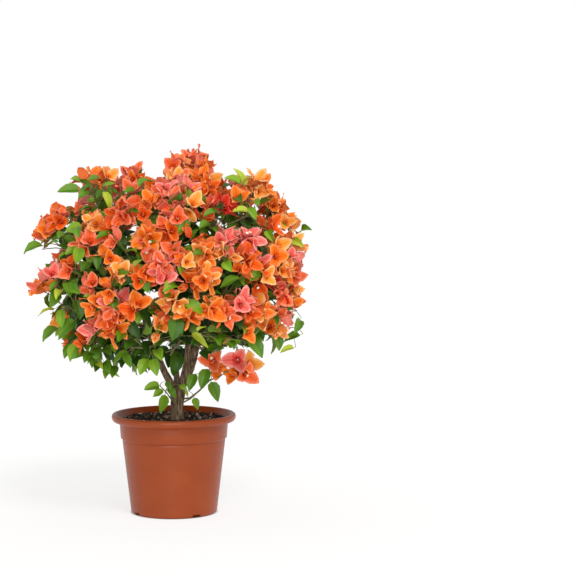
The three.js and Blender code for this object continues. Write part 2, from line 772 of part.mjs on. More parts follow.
// A low shoot: one stem from the trunk's side that divides towards its ends.
function lowShoot(shoot, trunk, grownTrunk, taken, attempt) {
  const random = numbersFrom(SEED + shoot.name.length + 100 * attempt);
  const centre = new THREE.Vector3(...shoot.centre);
  const insideBall = (point) => point.distanceTo(centre) < shoot.radius - SPACE_MARGIN;
  const growth = new Growth(insideBall, taken);
  const ends = shoot.ends.map((e) => ({ ...e, to: new THREE.Vector3(...e.to) }));
  const middle = ends.reduce((sum, e) => sum.add(e.to), new THREE.Vector3()).divideScalar(ends.length);
  const axis = trunk.line.getPointAt(shoot.leaves);
  const level = new THREE.Vector3().subVectors(middle, axis).setZ(0).normalize();
  const away = level.setZ(LOW_SHOOT.rise).normalize();
  const surface = trunk.radiusAt(shoot.leaves) / Math.hypot(away.x, away.y);
  const foot = axis.clone().addScaledVector(away, surface * LOW_SHOOT.sunk);
  const joint = new THREE.Vector3().lerpVectors(foot, middle, LOW_SHOOT.joint);
  growth.pieces.push(solidOf(twig(foot, joint, TWIG.branch, TWIG.fine), TWIG_FACES));
  ends.forEach((end, i) => {
    const rootShare = LOW_SHOOT.root - LOW_SHOOT.rootStep * i;
    const root = new THREE.Vector3().lerpVectors(foot, joint, rootShare);
    const along = new THREE.Vector3().subVectors(end.to, root).normalize();
    const facing = along.clone().add(new THREE.Vector3(0, -0.6, 0.1)).normalize();
    if (end.blossoms) growth.blossom(root, [{ foot: end.to, axis: facing }], LOW_SHOOT.blossom);
    else growth.leafySprig(root, end.to, 2.1 * i + random(), LOW_SHOOT.leaf);
  });
  return wholeOf(growth.solid().subtract(grownTrunk));
}

const lines = limbLines();
const limbs = limbSolids(lines);
const taken = limbRoom(lines);
const spraysOf = sprayPlaces();
const trunk = lines.get("trunk");
const trunkGrown = limb(trunk.line, (share) => trunkRadius(share) + CLEARANCE, trunk.sides, trunk.steps);

const bougainvillea = new THREE.Group();
bougainvillea.add(named("pot", pot(), COLOURS.pot));
bougainvillea.add(named("potting_mix", pottingMix(), COLOURS.soil));
for (const [name, solid] of limbs) {
  bougainvillea.add(named(name, solid, COLOURS.bark));
}
MASSES.forEach((mass, index) => {
  const solid = grownPlain((attempt) => crownMass(index, spraysOf[index], lines, taken, attempt));
  bougainvillea.add(named(mass.name, solid, COLOURS[mass.look]));
});
for (const shoot of SHOOTS) {
  const look = shoot.ends[0].blossoms ? COLOURS.blossom : COLOURS.leaf;
  const solid = grownPlain((attempt) => lowShoot(shoot, trunk, trunkGrown, taken, attempt));
  bougainvillea.add(named(shoot.name, solid, look));
}

export default bougainvillea;
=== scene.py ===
# A potted bougainvillea in full orange bloom: a terracotta-coloured nursery pot, its potting mix,
# a short forked trunk, and a round crown of leafy twigs that end in clusters of papery bracts.
# Sizes in the sections are millimetres, and MM turns them into Blender's metres.
import math
import random

import bmesh
import bpy
import numpy as np
from mathutils import Euler, Matrix, Vector, noise


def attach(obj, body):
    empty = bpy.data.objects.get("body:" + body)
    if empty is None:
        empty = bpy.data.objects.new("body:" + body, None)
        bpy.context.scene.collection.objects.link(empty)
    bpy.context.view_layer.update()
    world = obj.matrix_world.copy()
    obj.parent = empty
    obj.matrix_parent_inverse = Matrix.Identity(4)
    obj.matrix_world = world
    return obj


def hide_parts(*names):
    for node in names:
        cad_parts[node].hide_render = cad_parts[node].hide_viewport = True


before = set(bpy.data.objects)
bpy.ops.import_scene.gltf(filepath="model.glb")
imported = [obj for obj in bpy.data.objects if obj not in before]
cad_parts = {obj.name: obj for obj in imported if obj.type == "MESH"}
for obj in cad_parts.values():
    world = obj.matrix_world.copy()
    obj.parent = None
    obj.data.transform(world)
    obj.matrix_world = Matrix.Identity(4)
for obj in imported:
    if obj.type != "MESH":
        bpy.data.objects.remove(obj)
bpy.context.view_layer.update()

MM = 0.001

# The camera. A long lens 4.45 m in front of the pot, level with the crown's top and pitched down,
# so that the pot's rim shows as a flat oval. It is turned right, which leaves the plant at left.
PICTURE = 576
SENSOR = 36
LENS = 115.5
FOCAL = LENS / SENSOR * PICTURE
PITCH_DOWN, TURN_RIGHT = 3.95, 3.56
EYE = Vector((0, -4450, 850))
EYE_TURN = Euler((math.radians(90 - PITCH_DOWN), 0, math.radians(-TURN_RIGHT)))


def put(name, data):
    """A new object in the scene, for a mesh, a curve, a light or a camera."""
    made = bpy.data.objects.new(name, data)
    bpy.context.collection.objects.link(made)
    return made


eye = bpy.data.cameras.new("eye")
eye.sensor_width = SENSOR
eye.lens = LENS
eye.clip_end = 1000
camera = put("camera", eye)
camera.location = EYE * MM
camera.rotation_euler = EYE_TURN
bpy.context.scene.camera = camera
bpy.context.scene.view_settings.view_transform = "Standard"


# The pot. A 30 cm nursery pot of injection-moulded polypropylene, coloured like terracotta. It has
# a rolled rim, a tapered collar over a ledge, and a foot ring with notches round a drained base.
def linear(hex_colour):
    """An sRGB hex colour as the linear values that a shader takes."""
    parts = [int(hex_colour[i : i + 2], 16) / 255 for i in (1, 3, 5)]
    return [p / 12.92 if p <= 0.04045 else ((p + 0.055) / 1.055) ** 2.4 for p in parts] + [1]


def finish(name, hex_colour, **values):
    """A material of one Principled shader, with its plain values on the shader's own sockets."""
    made = bpy.data.materials.new(name)
    made.use_nodes = True
    shader = made.node_tree.nodes["Principled BSDF"]
    shader.inputs["Base Color"].default_value = linear(hex_colour)
    for socket, value in values.items():
        shader.inputs[socket.replace("_", " ")].default_value = value
    return made


def add_node(tree, kind, settings, inputs):
    """Adds a node, sets its properties, and fills its sockets or links them to other outputs."""
    made = tree.nodes.new(kind)
    for name, value in settings.items():
        setattr(made, name, value)
    for socket, value in inputs.items():
        if isinstance(value, bpy.types.NodeSocket):
            tree.links.new(value, made.inputs[socket])
        else:
            made.inputs[socket].default_value = value
    return made


def scale_of(size):
    """The scale of a noise whose blotches are so many millimetres apart."""
    return 1 / (size * MM)


def colour_bands(tree, share, bands):
    """A colour ramp: bands are (position, hex colour)."""
    ramp = add_node(tree, "ShaderNodeValToRGB", {}, {0: share})
    stops = ramp.color_ramp.elements
    while len(stops) < len(bands):
        stops.new(0.5)
    for stop, (position, hex_colour) in zip(stops, bands):
        stop.position = position
        stop.color = linear(hex_colour)
    return ramp.outputs["Color"]


def dress(material, colour, height, strength, depth):
    """Links a colour to a material's shader, and a relief that is so many millimetres deep."""
    tree = material.node_tree
    relief = {"Strength": strength, "Distance": depth * MM, "Height": height}
    bump = add_node(tree, "ShaderNodeBump", {}, relief).outputs[0]
    for source, socket in ((colour, "Base Color"), (bump, "Normal")):
        tree.links.new(source, tree.nodes["Principled BSDF"].inputs[socket])


def place(name, mesh, materials=(), replaced=()):
    """Puts a finished mesh in the scene as a piece of the plant."""
    piece = put(name, mesh)
    for material in materials:
        mesh.materials.append(material)
    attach(piece, "root")
    if replaced:
        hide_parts(*replaced)
    return piece


def mesh_of(shape, name, sharp_from=35):
    """A bmesh as a mesh, smooth but for edges that turn by more than so many degrees."""
    for face in shape.faces:
        face.smooth = True
    for edge in shape.edges:
        if edge.calc_face_angle(0) > math.radians(sharp_from):
            edge.smooth = False
    made = bpy.data.meshes.new(name)
    shape.to_mesh(made)
    shape.free()
    return made


def turned(profile, steps):
    """A profile of (radius, height) turned about the upright axis, closed where it meets it."""
    shape = bmesh.new()
    points = [shape.verts.new((r * MM, 0, h * MM)) for r, h in profile]
    for low, high in zip(points, points[1:]):
        shape.edges.new((low, high))
    ends = shape.verts[:] + shape.edges[:]
    bmesh.ops.spin(
        shape, geom=ends, cent=(0, 0, 0), axis=(0, 0, 1), angle=2 * math.pi, steps=steps,
        use_merge=True,
    )
    bmesh.ops.remove_doubles(shape, verts=shape.verts[:], dist=0.01 * MM)
    bmesh.ops.recalc_face_normals(shape, faces=shape.faces[:])
    return shape


def final_mesh(carrier):
    """The mesh that an object ends as. The object itself is dropped."""
    graph = bpy.context.evaluated_depsgraph_get()
    made = bpy.data.meshes.new_from_object(carrier.evaluated_get(graph))
    bpy.data.objects.remove(carrier)
    return made


def applied(mesh, modifiers):
    """A mesh with modifiers applied: each is (kind, settings)."""
    carrier = put("carrier", mesh)
    for kind, settings in modifiers:
        modifier = carrier.modifiers.new(kind, kind)
        for name, value in settings.items():
            setattr(modifier, name, value)
    return final_mesh(carrier)


# The profile runs out from the middle of the underside over the foot ring, up the wall, the ledge
# and the collar to the rolled rim, and down inside.
pot_profile = [
    (0, 0), (28, 0), (30, 5), (90, 5), (92, 0), (101, 0), (104, 3), (105.1, 12.5), (124.3, 175.5),
    (123.6, 179), (128.5, 182.5), (130.5, 212), (130.3, 218.5), (140, 220.5), (146, 223), (149.5, 228),
    (150, 233), (149, 237.5), (146, 240), (141, 240), (138.5, 238), (128.2, 220), (125.9, 184.5),
    (121.3, 178.5), (102, 8), (0, 8),
]
# The rounding of the edges, and how far out and up the notches and the drain holes are cut.
EDGE_ROUND = 1.1
NOTCH_OUT, NOTCH_UP, NOTCH_SIZE = 104, 0.5, (22, 24, 13)
DRAIN_OUT, DRAIN_UP, DRAIN_RADIUS, DRAIN_DEPTH = 62, 8, 6, 24
FIRST_NOTCH = -59
pot_shape = turned(pot_profile, steps=160)
creases = [e for e in pot_shape.edges if e.calc_face_angle(0) > math.radians(14)]
bmesh.ops.bevel(
    pot_shape, geom=creases, offset=EDGE_ROUND * MM, offset_type="OFFSET", segments=3, profile=0.5,
    affect="EDGES", material=-1, clamp_overlap=True,
)
bmesh.ops.recalc_face_normals(pot_shape, faces=pot_shape.faces[:])
cutters = bmesh.new()
for quarter in range(4):
    turn = math.radians(FIRST_NOTCH + 90 * quarter)
    notch = Matrix.Rotation(turn, 4, "Z") @ Matrix.Translation((0, -NOTCH_OUT * MM, NOTCH_UP * MM))
    size = Matrix.Diagonal((*(side * MM for side in NOTCH_SIZE), 1))
    bmesh.ops.create_cube(cutters, size=1, matrix=notch @ size)
    between = Matrix.Rotation(turn + math.pi / 4, 4, "Z")
    bmesh.ops.create_cone(
        cutters, cap_ends=True, segments=24, radius1=DRAIN_RADIUS * MM, radius2=DRAIN_RADIUS * MM,
        depth=DRAIN_DEPTH * MM,
        matrix=between @ Matrix.Translation((0, -DRAIN_OUT * MM, DRAIN_UP * MM)),
    )
cutter = put("cutter", mesh_of(cutters, "cutter"))
drained = applied(
    mesh_of(pot_shape, "pot_shell"),
    [("BOOLEAN", {"operation": "DIFFERENCE", "object": cutter, "solver": "EXACT"})],
)
bpy.data.objects.remove(cutter)

# Moulded polypropylene: satin, with a colour that drifts a little from the mixing of the melt, and
# light scuffs and a fine moulded grain that break up its highlight.
moulded = finish(
    "moulded_polypropylene", "#8e3a0c", IOR=1.49, Roughness=0.36, Specular_IOR_Level=0.34
)
tree = moulded.node_tree
spot = add_node(tree, "ShaderNodeTexCoord", {}, {}).outputs["Object"]
melt = add_node(
    tree, "ShaderNodeTexNoise", {}, {"Vector": spot, "Scale": scale_of(62.5), "Detail": 3}
)
drift = colour_bands(
    tree, melt.outputs[0], [(0.3, "#8b380b"), (0.5, "#8e3a0c"), (0.72, "#933e0f")]
)
scuffs = add_node(
    tree, "ShaderNodeTexNoise", {}, {"Vector": spot, "Scale": scale_of(7.14), "Detail": 6}
)
shine = add_node(
    tree, "ShaderNodeMapRange", {},
    {0: scuffs.outputs[0], "From Min": 0.3, "From Max": 0.7, "To Min": 0.3, "To Max": 0.43},
)
grain = add_node(
    tree, "ShaderNodeTexNoise", {}, {"Vector": spot, "Scale": scale_of(0.714), "Detail": 2}
)
tree.links.new(shine.outputs[0], tree.nodes["Principled BSDF"].inputs["Roughness"])
dress(moulded, drift, grain.outputs[0], strength=0.12, depth=0.2)
place("nursery_pot", drained, [moulded], ["pot"])


# The potting mix. Dark peat that fills the pot to 14 mm under its rim, with its top left rough,
# and loose chips of pine bark, pale wood and perlite strewn over it.
def shape_arrays(mesh):
    """What one small mesh holds, as arrays that copies of it are joined from."""

    def read(source, field, width=1, kind=np.int32):
        """One field of all the elements, in rows where it has several values."""
        held = np.zeros(len(source) * width, dtype=kind)
        source.foreach_get(field, held)
        return held.reshape(-1, width) if width > 1 else held

    arrays = {
        "co": read(mesh.vertices, "co", 3, np.float64),
        "edges": read(mesh.edges, "vertices", 2),
        "sharp": read(mesh.edges, "use_edge_sharp", 1, bool),
        "corners": read(mesh.loops, "vertex_index"),
        "corner_edges": read(mesh.loops, "edge_index"),
        "starts": read(mesh.polygons, "loop_start"),
        "zones": read(mesh.polygons, "material_index"),
    }
    bpy.data.meshes.remove(mesh)
    return arrays


def joined(name, shapes, copies, zone_count):
    """Copies of small shapes as one mesh: each copy is (shape, 4 x 4 matrix in mm, tint)."""
    gathered = {key: [] for key in shapes[0]}
    verts = edges = corners = 0
    for index, shape in enumerate(shapes):
        own = [c for c in copies if c[0] == index]
        if not own:
            continue
        turns = np.array([np.array(c[1]) for c in own])
        tints = np.array([c[2] for c in own], dtype=np.int32)[:, None]
        points = np.einsum("kij,nj->kni", turns[:, :3, :3], shape["co"]) + turns[:, None, :3, 3]
        number = np.arange(len(own), dtype=np.int32)[:, None]
        first_vert = verts + number * len(shape["co"])
        first_edge = edges + number * len(shape["edges"])
        first_corner = corners + number * len(shape["corners"])
        parts = {
            "co": points * MM,
            "edges": shape["edges"] + first_vert[..., None],
            "sharp": np.tile(shape["sharp"], len(own)),
            "corners": shape["corners"] + first_vert,
            "corner_edges": shape["corner_edges"] + first_edge,
            "starts": shape["starts"] + first_corner,
            "zones": shape["zones"] + tints * zone_count,
        }
        for key, part in parts.items():
            gathered[key].append(part.reshape(-1))
        verts += len(own) * len(shape["co"])
        edges += len(own) * len(shape["edges"])
        corners += len(own) * len(shape["corners"])
    whole = {key: np.concatenate(parts) for key, parts in gathered.items()}
    made = bpy.data.meshes.new(name)
    made.vertices.add(verts)
    made.edges.add(edges)
    made.loops.add(corners)
    made.polygons.add(len(whole["starts"]))
    sharp = made.attributes.new("sharp_edge", "BOOLEAN", "EDGE")
    sharp.data.foreach_set("value", whole["sharp"])
    made.vertices.foreach_set("co", whole["co"])
    made.edges.foreach_set("vertices", whole["edges"])
    made.loops.foreach_set("vertex_index", whole["corners"])
    made.loops.foreach_set("edge_index", whole["corner_edges"])
    made.polygons.foreach_set("loop_start", whole["starts"])
    made.polygons.foreach_set("material_index", whole["zones"])
    made.update()
    return made


MIX_LEVEL = 226
# The wall that the mix lies against, and how often its clods, crumbs and rises come in a metre.
MIX_WALL = 134
CLODS, CRUMBS, RISES = 90, 260, 30
mix_shape = turned(
    [(0, 9), (100.5, 9), (120.3, 179), (124.9, 185), (127.2, 220), (130.4, 225), (130.6, MIX_LEVEL)]
    + [(130.6 - 3.5 * step, MIX_LEVEL) for step in range(1, 37)]
    + [(0, MIX_LEVEL)],
    steps=150,
)
for vert in mix_shape.verts:
    if vert.co.z > 220 * MM:
        rough = noise.noise(vert.co * CLODS) * 2.4 + noise.noise(vert.co * CRUMBS) * 1.5
        edge = min(1, (MIX_WALL * MM - vert.co.xy.length) / (8 * MM))
        vert.co.z += (rough - 0.8 + noise.noise(vert.co * RISES) * 2) * MM * edge
peat = finish("peat", "#1d130d", Roughness=0.95, Specular_IOR_Level=0.2)
tree = peat.node_tree
spot = add_node(tree, "ShaderNodeTexCoord", {}, {}).outputs["Object"]
crumbs = add_node(
    tree, "ShaderNodeTexNoise", {}, {"Vector": spot, "Scale": scale_of(3.03), "Detail": 8}
)
peat_colour = colour_bands(
    tree, crumbs.outputs[0],
    [(0.36, "#0b0705"), (0.5, "#1d120c"), (0.6, "#38251a"), (0.72, "#6b513c")],
)
dress(peat, peat_colour, crumbs.outputs[0], strength=0.9, depth=1.5)
mix_mesh = mesh_of(mix_shape, "mix", sharp_from=80)
place("potting_mix_bed", mix_mesh, [peat], ["potting_mix"])

chance = random.Random(4151)
chip_shapes = []
for _ in range(6):
    chip = bmesh.new()
    bmesh.ops.create_cube(chip, size=1)
    bmesh.ops.bevel(
        chip, geom=chip.edges[:], offset=0.16, offset_type="OFFSET", segments=1, profile=0.5,
        affect="EDGES", material=-1,
    )
    for vert in chip.verts:
        vert.co += Vector([chance.uniform(-0.14, 0.14) for _ in range(3)])
    chip_shapes.append(shape_arrays(mesh_of(chip, "chip", sharp_from=25)))
# Bark chips, dark and brown, with a few of pale wood and white perlite. Each is one plain colour,
# because it is only a few of the picture's dots long.
chip_finishes = [
    finish("dark_bark_chip", "#1f140e", Roughness=0.9),
    finish("brown_bark_chip", "#4a2f1f", Roughness=0.85),
    finish("tan_bark_chip", "#7d5636", Roughness=0.85),
    finish("pale_wood_chip", "#b39a7a", Roughness=0.8),
    finish("perlite", "#dedad0", Roughness=0.7),
]
CHIP_COUNT, CHIPS_OUT = 760, 127
CHIP_SHARES = [46, 30, 10, 8, 6]
PERLITE = 4
TRUNK_FOOT, TRUNK_ROOM = Vector((8, 0)), 19
chips = []
while len(chips) < CHIP_COUNT:
    out, turn = CHIPS_OUT * math.sqrt(chance.random()), chance.uniform(0, 2 * math.pi)
    spot = Vector((out * math.cos(turn), out * math.sin(turn), MIX_LEVEL))
    if (spot.xy - TRUNK_FOOT).length < TRUNK_ROOM:
        continue
    kind = chance.choices(range(5), CHIP_SHARES)[0]
    length = chance.uniform(3, 11) if kind != PERLITE else chance.uniform(2, 3.6)
    size = (length, length * chance.uniform(0.3, 0.7), length * chance.uniform(0.2, 0.4))
    if kind == PERLITE:
        size = (length, length * 0.9, length * 0.8)
    spot.z += noise.noise(spot * RISES * MM) * 2 + chance.uniform(-0.5, 1.4)
    lie = Matrix.Rotation(chance.uniform(0, math.pi), 4, "Z")
    tip = Matrix.Rotation(chance.gauss(0, 0.35), 4, "X")
    tip = tip @ Matrix.Rotation(chance.gauss(0, 0.3), 4, "Y")
    fit = Matrix.Translation(spot) @ lie @ tip @ Matrix.Diagonal((*size, 1))
    chips.append((chance.randrange(len(chip_shapes)), fit, kind))
chip_mesh = joined("chips", chip_shapes, chips, zone_count=1)
place("bark_chips", chip_mesh, chip_finishes)


# The trunk and its limbs. A short woody trunk, 32 mm through, that flares at the soil and forks
# 60 mm up into four boughs. Each bough divides on its way out to the crown's masses.
HEART = Vector((-10, 0, 540))
HEART_RADIUS = 150
UP = Vector((0, 0, 1))


def heading(turn, rise):
    """A unit direction from a turn, front towards right, and a rise, both in degrees."""
    t, r = math.radians(turn), math.radians(rise)
    return Vector((math.sin(t) * math.cos(r), -math.cos(t) * math.cos(r), math.sin(r)))


def bend(start, launch, landing, end, count):
    """Points evenly along a curve that leaves start by launch and reaches end from landing."""
    dense = []
    for step in range(61):
        s = step / 60
        dense.append(
            start * (1 - s) ** 3 + launch * (3 * s * (1 - s) ** 2)
            + landing * (3 * s * s * (1 - s)) + end * s**3
        )
    return [point_along(dense, i / (count - 1))[0] for i in range(count)]


def point_along(points, share):
    """The point and the heading at a share of a run's length."""
    lengths = [(b - a).length for a, b in zip(points, points[1:])]
    left = share * sum(lengths)
    for a, b, length in zip(points, points[1:], lengths):
        if left <= length and length > 0:
            return a.lerp(b, left / length), (b - a) / length
        left -= length
    return points[-1].copy(), (points[-1] - points[-2]).normalized()


def tubes(name, runs, roundness):
    """Round tapering tubes as one mesh: each run is (points, radii)."""
    curve = bpy.data.curves.new(name, "CURVE")
    curve.dimensions = "3D"
    curve.bevel_depth = MM
    curve.bevel_resolution = roundness
    curve.use_fill_caps = True
    for points, radii in runs:
        spline = curve.splines.new("POLY")
        spline.points.add(len(points) - 1)
        for knot, point, radius in zip(spline.points, points, radii):
            knot.co = (*(point * MM), 1)
            knot.radius = radius
        spline.use_smooth = True
    return final_mesh(put(name, curve))


# Each mass of the crown: its turn, the rise of its wedge's middle, and the rise of its stem.
masses = {
    "crown_top": (90, 86, 86), "crown_front": (8, 22, 22), "crown_right": (69, 22, 22),
    "crown_back_right": (128, 22, 22), "crown_back": (188, 22, 22),
    "crown_back_left": (251, 22, 22), "crown_left": (310, 22, 22), "skirt_front": (12, -60, -33),
    "skirt_right": (84, -60, -33), "skirt_back": (158, -60, -33),
    "skirt_back_left": (228, -60, -33), "skirt_left": (300, -60, -33),
}
# Each limb: the one that it leaves, at what share of it, its mass, its radii, and its launch.
limbs = {
    "bough_centre": ("trunk", 0.72, "crown_top", 11.5, 5.2, (0.45, 0.02, 1)),
    "bough_left": ("trunk", 0.82, "crown_back_left", 9.5, 4.8, (-0.8, 0, 1)),
    "bough_right": ("bough_centre", 0.05, "crown_right", 9.8, 4.8, (0.72, 0.1, 1)),
    "bough_back": ("trunk", 0.8, "crown_back", 8.5, 4.8, (-0.06, 0.6, 1)),
    "branch_front": ("bough_centre", 0.36, "crown_front", 5.6, 4.4, None),
    "branch_low_front": ("bough_centre", 0.24, "skirt_front", 5, 4.2, None),
    "branch_low_right": ("bough_right", 0.42, "skirt_right", 5, 4.2, None),
    "branch_back_right": ("bough_back", 0.32, "crown_back_right", 5.6, 4.4, None),
    "branch_low_back": ("bough_back", 0.44, "skirt_back", 5, 4.2, None),
    "branch_left": ("bough_left", 0.34, "crown_left", 5.6, 4.4, None),
    "branch_low_left": ("bough_left", 0.44, "skirt_left", 5, 4.2, None),
    "branch_low_back_left": ("bough_left", 0.54, "skirt_back_left", 5, 4.2, None),
}


def trunk_radius(share):
    """The trunk's radius at a share of its height: flared at the soil, swollen below the fork."""
    swell = min(1, max(0, (share - 0.45) / 0.4))
    flare = 5.5 * math.exp(-share / 0.1)
    return 16 + flare + 2.5 * swell * swell * (3 - 2 * swell) - max(0, share - 0.88) * 50


trunk_knots = [(7, 0, MIX_LEVEL - 4), (6.6, 0, 250), (8.5, 1, 278), (11, 2, 304)]
TRUNK_STEPS, LIMB_STEPS = 17, 19
trunk_line = bend(*(Vector(knot) for knot in trunk_knots), count=TRUNK_STEPS + 1)
LAUNCH, LANDING = 0.42, 0.34
limb_lines = {"trunk": trunk_line}
limb_tips = {}
wood = [(trunk_line, [trunk_radius(i / TRUNK_STEPS) for i in range(TRUNK_STEPS + 1)])]
for name, (parent, at, mass, thick, thin, launch) in limbs.items():
    turn, _, rise = masses[mass]
    out = heading(turn, rise)
    start, along = point_along(limb_lines[parent], at)
    end = HEART + out * HEART_RADIUS
    reach = (end - start).length
    toward = Vector(launch) if launch else along + out + UP * 0.3
    launched = start + toward.normalized() * LAUNCH * reach
    line = bend(start, launched, end - out * LANDING * reach, end, count=LIMB_STEPS + 1)
    limb_lines[name] = line
    limb_tips[mass] = (end, out)
    shares = [i / LIMB_STEPS for i in range(LIMB_STEPS + 1)]
    wood.append((line, [thick + (thin - thick) * share**0.8 for share in shares]))
# Two stubs where shoots were cut back.
wood.append(([Vector((17, -6, 286)), Vector((27, -11, 293))], [4.2, 2.4]))
wood.append(([Vector((0, -8, 262)), Vector((-7, -14, 268))], [4.5, 2.8]))

grown = applied(
    tubes("limbs", wood, roundness=4),
    [
        ("REMESH", {"mode": "VOXEL", "voxel_size": 1.45 * MM}),
        ("SMOOTH", {"factor": 0.5, "iterations": 4}),
    ],
)
# The widths and the lengths of the bark's ridges and flakes, the size of its lumps, and the height
# from which its relief gets shallower as the boughs get thinner.
RIDGE, FLAKE, LUMP = (5, 19), (2.2, 5), 11
FULL_RELIEF_TO = 300
relief = bmesh.new()
relief.from_mesh(grown)
for vert in relief.verts:
    here = vert.co / MM
    girth = min(1, max(0.35, 1 - (here.z - FULL_RELIEF_TO) / 90))
    ridge, flake = [
        noise.noise(Vector((here.x / wide, here.y / wide, here.z / tall))) for wide, tall in (RIDGE, FLAKE)
    ]
    height = 0.4 - 2 * abs(ridge) + 0.8 * noise.noise(here / LUMP) + 0.3 * flake
    vert.co += vert.normal * MM * girth * height
# Bougainvillea bark: grey-brown and matt, shallowly split along the grain into corky ridges with
# paler crests and darker splits, and greener in patches.
bark = finish("corky_bark", "#6b5843", Roughness=0.9, Specular_IOR_Level=0.25)
tree = bark.node_tree
spot = add_node(tree, "ShaderNodeTexCoord", {}, {}).outputs["Object"]
along_grain = add_node(tree, "ShaderNodeMapping", {}, {0: spot, "Scale": (1, 1, 0.22)}).outputs[0]
splits = add_node(
    tree, "ShaderNodeTexNoise", {}, {"Vector": along_grain, "Scale": scale_of(4.35), "Detail": 6}
)
bark_colour = colour_bands(
    tree, splits.outputs[0],
    [(0.32, "#3b2c20"), (0.46, "#655240"), (0.56, "#7d6852"), (0.7, "#99856c")],
)
patches = add_node(
    tree, "ShaderNodeTexNoise", {}, {"Vector": spot, "Scale": scale_of(22.2), "Detail": 3}
)
algae = colour_bands(tree, patches.outputs[0], [(0.45, "#ffffff"), (0.68, "#c3c7a0")])
tinted = add_node(
    tree, "ShaderNodeMix", {"data_type": "RGBA", "blend_type": "MULTIPLY"},
    {"Factor": 0.7, 6: bark_colour, 7: algae},
)
dress(bark, tinted.outputs[2], splits.outputs[0], strength=0.8, depth=0.8)
place("trunk_and_boughs", mesh_of(relief, "bark", sharp_from=180), [bark], ["trunk", *limbs])


# The crown's room. Twelve masses share a rounded crown by wedges about its heart, and how far it
# reaches follows its outline from the front. Where the photo shows sky, no leaf or bract grows.
# A row of the outline is a rise in degrees and the reach to the left, to the right and in depth.
crown_outline = [
    (-56, 250, 245, 250), (-36, 296, 279, 280), (-21, 324, 305, 305), (0, 344, 330, 325),
    (14, 362, 340, 332), (31, 361, 344, 336), (54, 353, 352, 338), (90, 342, 342, 342),
]
wedges = {name: heading(turn, middle) for name, (turn, middle, _) in masses.items()}
walls = {
    name: [(own - other).normalized() for key, other in wedges.items() if key != name]
    for name, own in wedges.items()
}
sides = {
    "top": ["crown_top"],
    "front": ["crown_front", "skirt_front"],
    "right": ["crown_right", "crown_back_right", "skirt_right"],
    "back": ["crown_back", "skirt_back"],
    "left": ["crown_left", "crown_back_left", "skirt_left", "skirt_back_left"],
    "low": ["low_shoot_right", "low_shoot_left"],
}
side_of = {mass: side for side, held in sides.items() for mass in held}

# The crown's edge in the photo, clockwise from its top, in the photo's dots, and the gaps in it
# that sky shows through, each with its radius. The last one is the space round the fork.
crown_edge = [
    (197, 146), (210, 157), (221, 188), (225, 177), (234, 167), (255, 170), (268, 181), (271, 193),
    (284, 200), (294, 214), (304, 228), (306, 250), (306, 276), (304, 300), (298, 320), (296, 338),
    (282, 352), (262, 358), (250, 347), (235, 352), (212, 352), (200, 346), (160, 346), (156, 376),
    (140, 376), (112, 378), (100, 370), (84, 363), (64, 362), (57, 342), (43, 342), (50, 325),
    (38, 316), (48, 300), (27, 291), (29, 278), (43, 262), (53, 260), (24, 254), (33, 242),
    (32, 230), (40, 211), (53, 203), (75, 200), (57, 192), (70, 179), (80, 176), (85, 167),
    (100, 163), (115, 172), (118, 187), (122, 168), (135, 160), (148, 167), (151, 182), (159, 184),
    (160, 170), (171, 159), (173, 152),
]
sky_gaps = [
    (68, 236, 4), (50, 248, 5), (60, 250, 4), (66, 302, 4), (58, 303, 4), (104, 267, 3),
    (85, 262, 4), (73, 268, 4), (193, 294, 3), (211, 324, 3), (147, 333, 3), (235, 334, 3),
    (115, 350, 3), (88, 351, 4), (103, 357, 3), (108, 362, 4), (130, 353, 3), (280, 230, 4),
    (92, 252, 3), (224, 178, 6), (117, 176, 4), (154, 177, 4), (47, 258, 6), (74, 197, 3),
    (131, 368, 4), (290, 240, 4), (265, 286, 3), (178, 369, 22),
]


def sight(x, y):
    """The direction in which the camera sees a dot of the photo."""
    ray = Vector(((x - PICTURE / 2) / FOCAL, (PICTURE / 2 - y) / FOCAL, -1))
    return (EYE_TURN.to_matrix() @ ray).normalized()


def on_screen(point):
    """The dot of the photo that shows a point."""
    seen = EYE_TURN.to_matrix().transposed() @ (point - EYE)
    return PICTURE / 2 - FOCAL * seen.x / seen.z, PICTURE / 2 + FOCAL * seen.y / seen.z


def within_edge(x, y):
    """Whether a dot of the photo lies inside the crown's edge."""
    inside = False
    for (ax, ay), (bx, by) in zip(crown_edge, crown_edge[1:] + crown_edge[:1]):
        if (ay > y) != (by > y) and x < ax + (bx - ax) * (y - ay) / (by - ay):
            inside = not inside
    return inside


def has_room(point, margin=0):
    """Whether a point shows inside the crown's edge by a margin in dots, and clear of its gaps."""
    x, y = on_screen(point)
    if any((x - gx) ** 2 + (y - gy) ** 2 < (gap + margin * 0.5) ** 2 for gx, gy, gap in sky_gaps):
        return False
    corners = [(x + i * margin, y + j * margin) for i in (-1, 1) for j in (-1, 1)]
    return all(within_edge(*corner) for corner in corners)


def rise_of(out):
    """How steeply a direction rises, in degrees."""
    return math.degrees(math.asin(max(-1, min(1, out.z))))


def crown_reach(out):
    """How far the crown reaches from its heart in a direction, read off the outline."""
    rise = max(rise_of(out), crown_outline[0][0])
    above = max(1, next(i for i, row in enumerate(crown_outline) if row[0] >= rise))
    low, high = crown_outline[above - 1], crown_outline[above]
    between = (rise - low[0]) / (high[0] - low[0])
    left, right, depth = [low[k] + (high[k] - low[k]) * between for k in (1, 2, 3)]
    sideways = out.x**2 / max(1e-9, out.x**2 + out.y**2)
    return depth + ((left if out.x < 0 else right) - depth) * sideways


SEARCH_FROM, SEARCH_STEP = 400, 4


def seen_at(x, y):
    """The first point of the crown that the camera sees at a dot of the photo."""
    ray = sight(x, y)
    nearest = (HEART - EYE).dot(ray)
    for step in range(SEARCH_FROM // SEARCH_STEP):
        point = EYE + ray * (nearest - SEARCH_FROM + SEARCH_STEP * step)
        if (point - HEART).length < crown_reach((point - HEART).normalized()):
            return point
    return EYE + ray * nearest


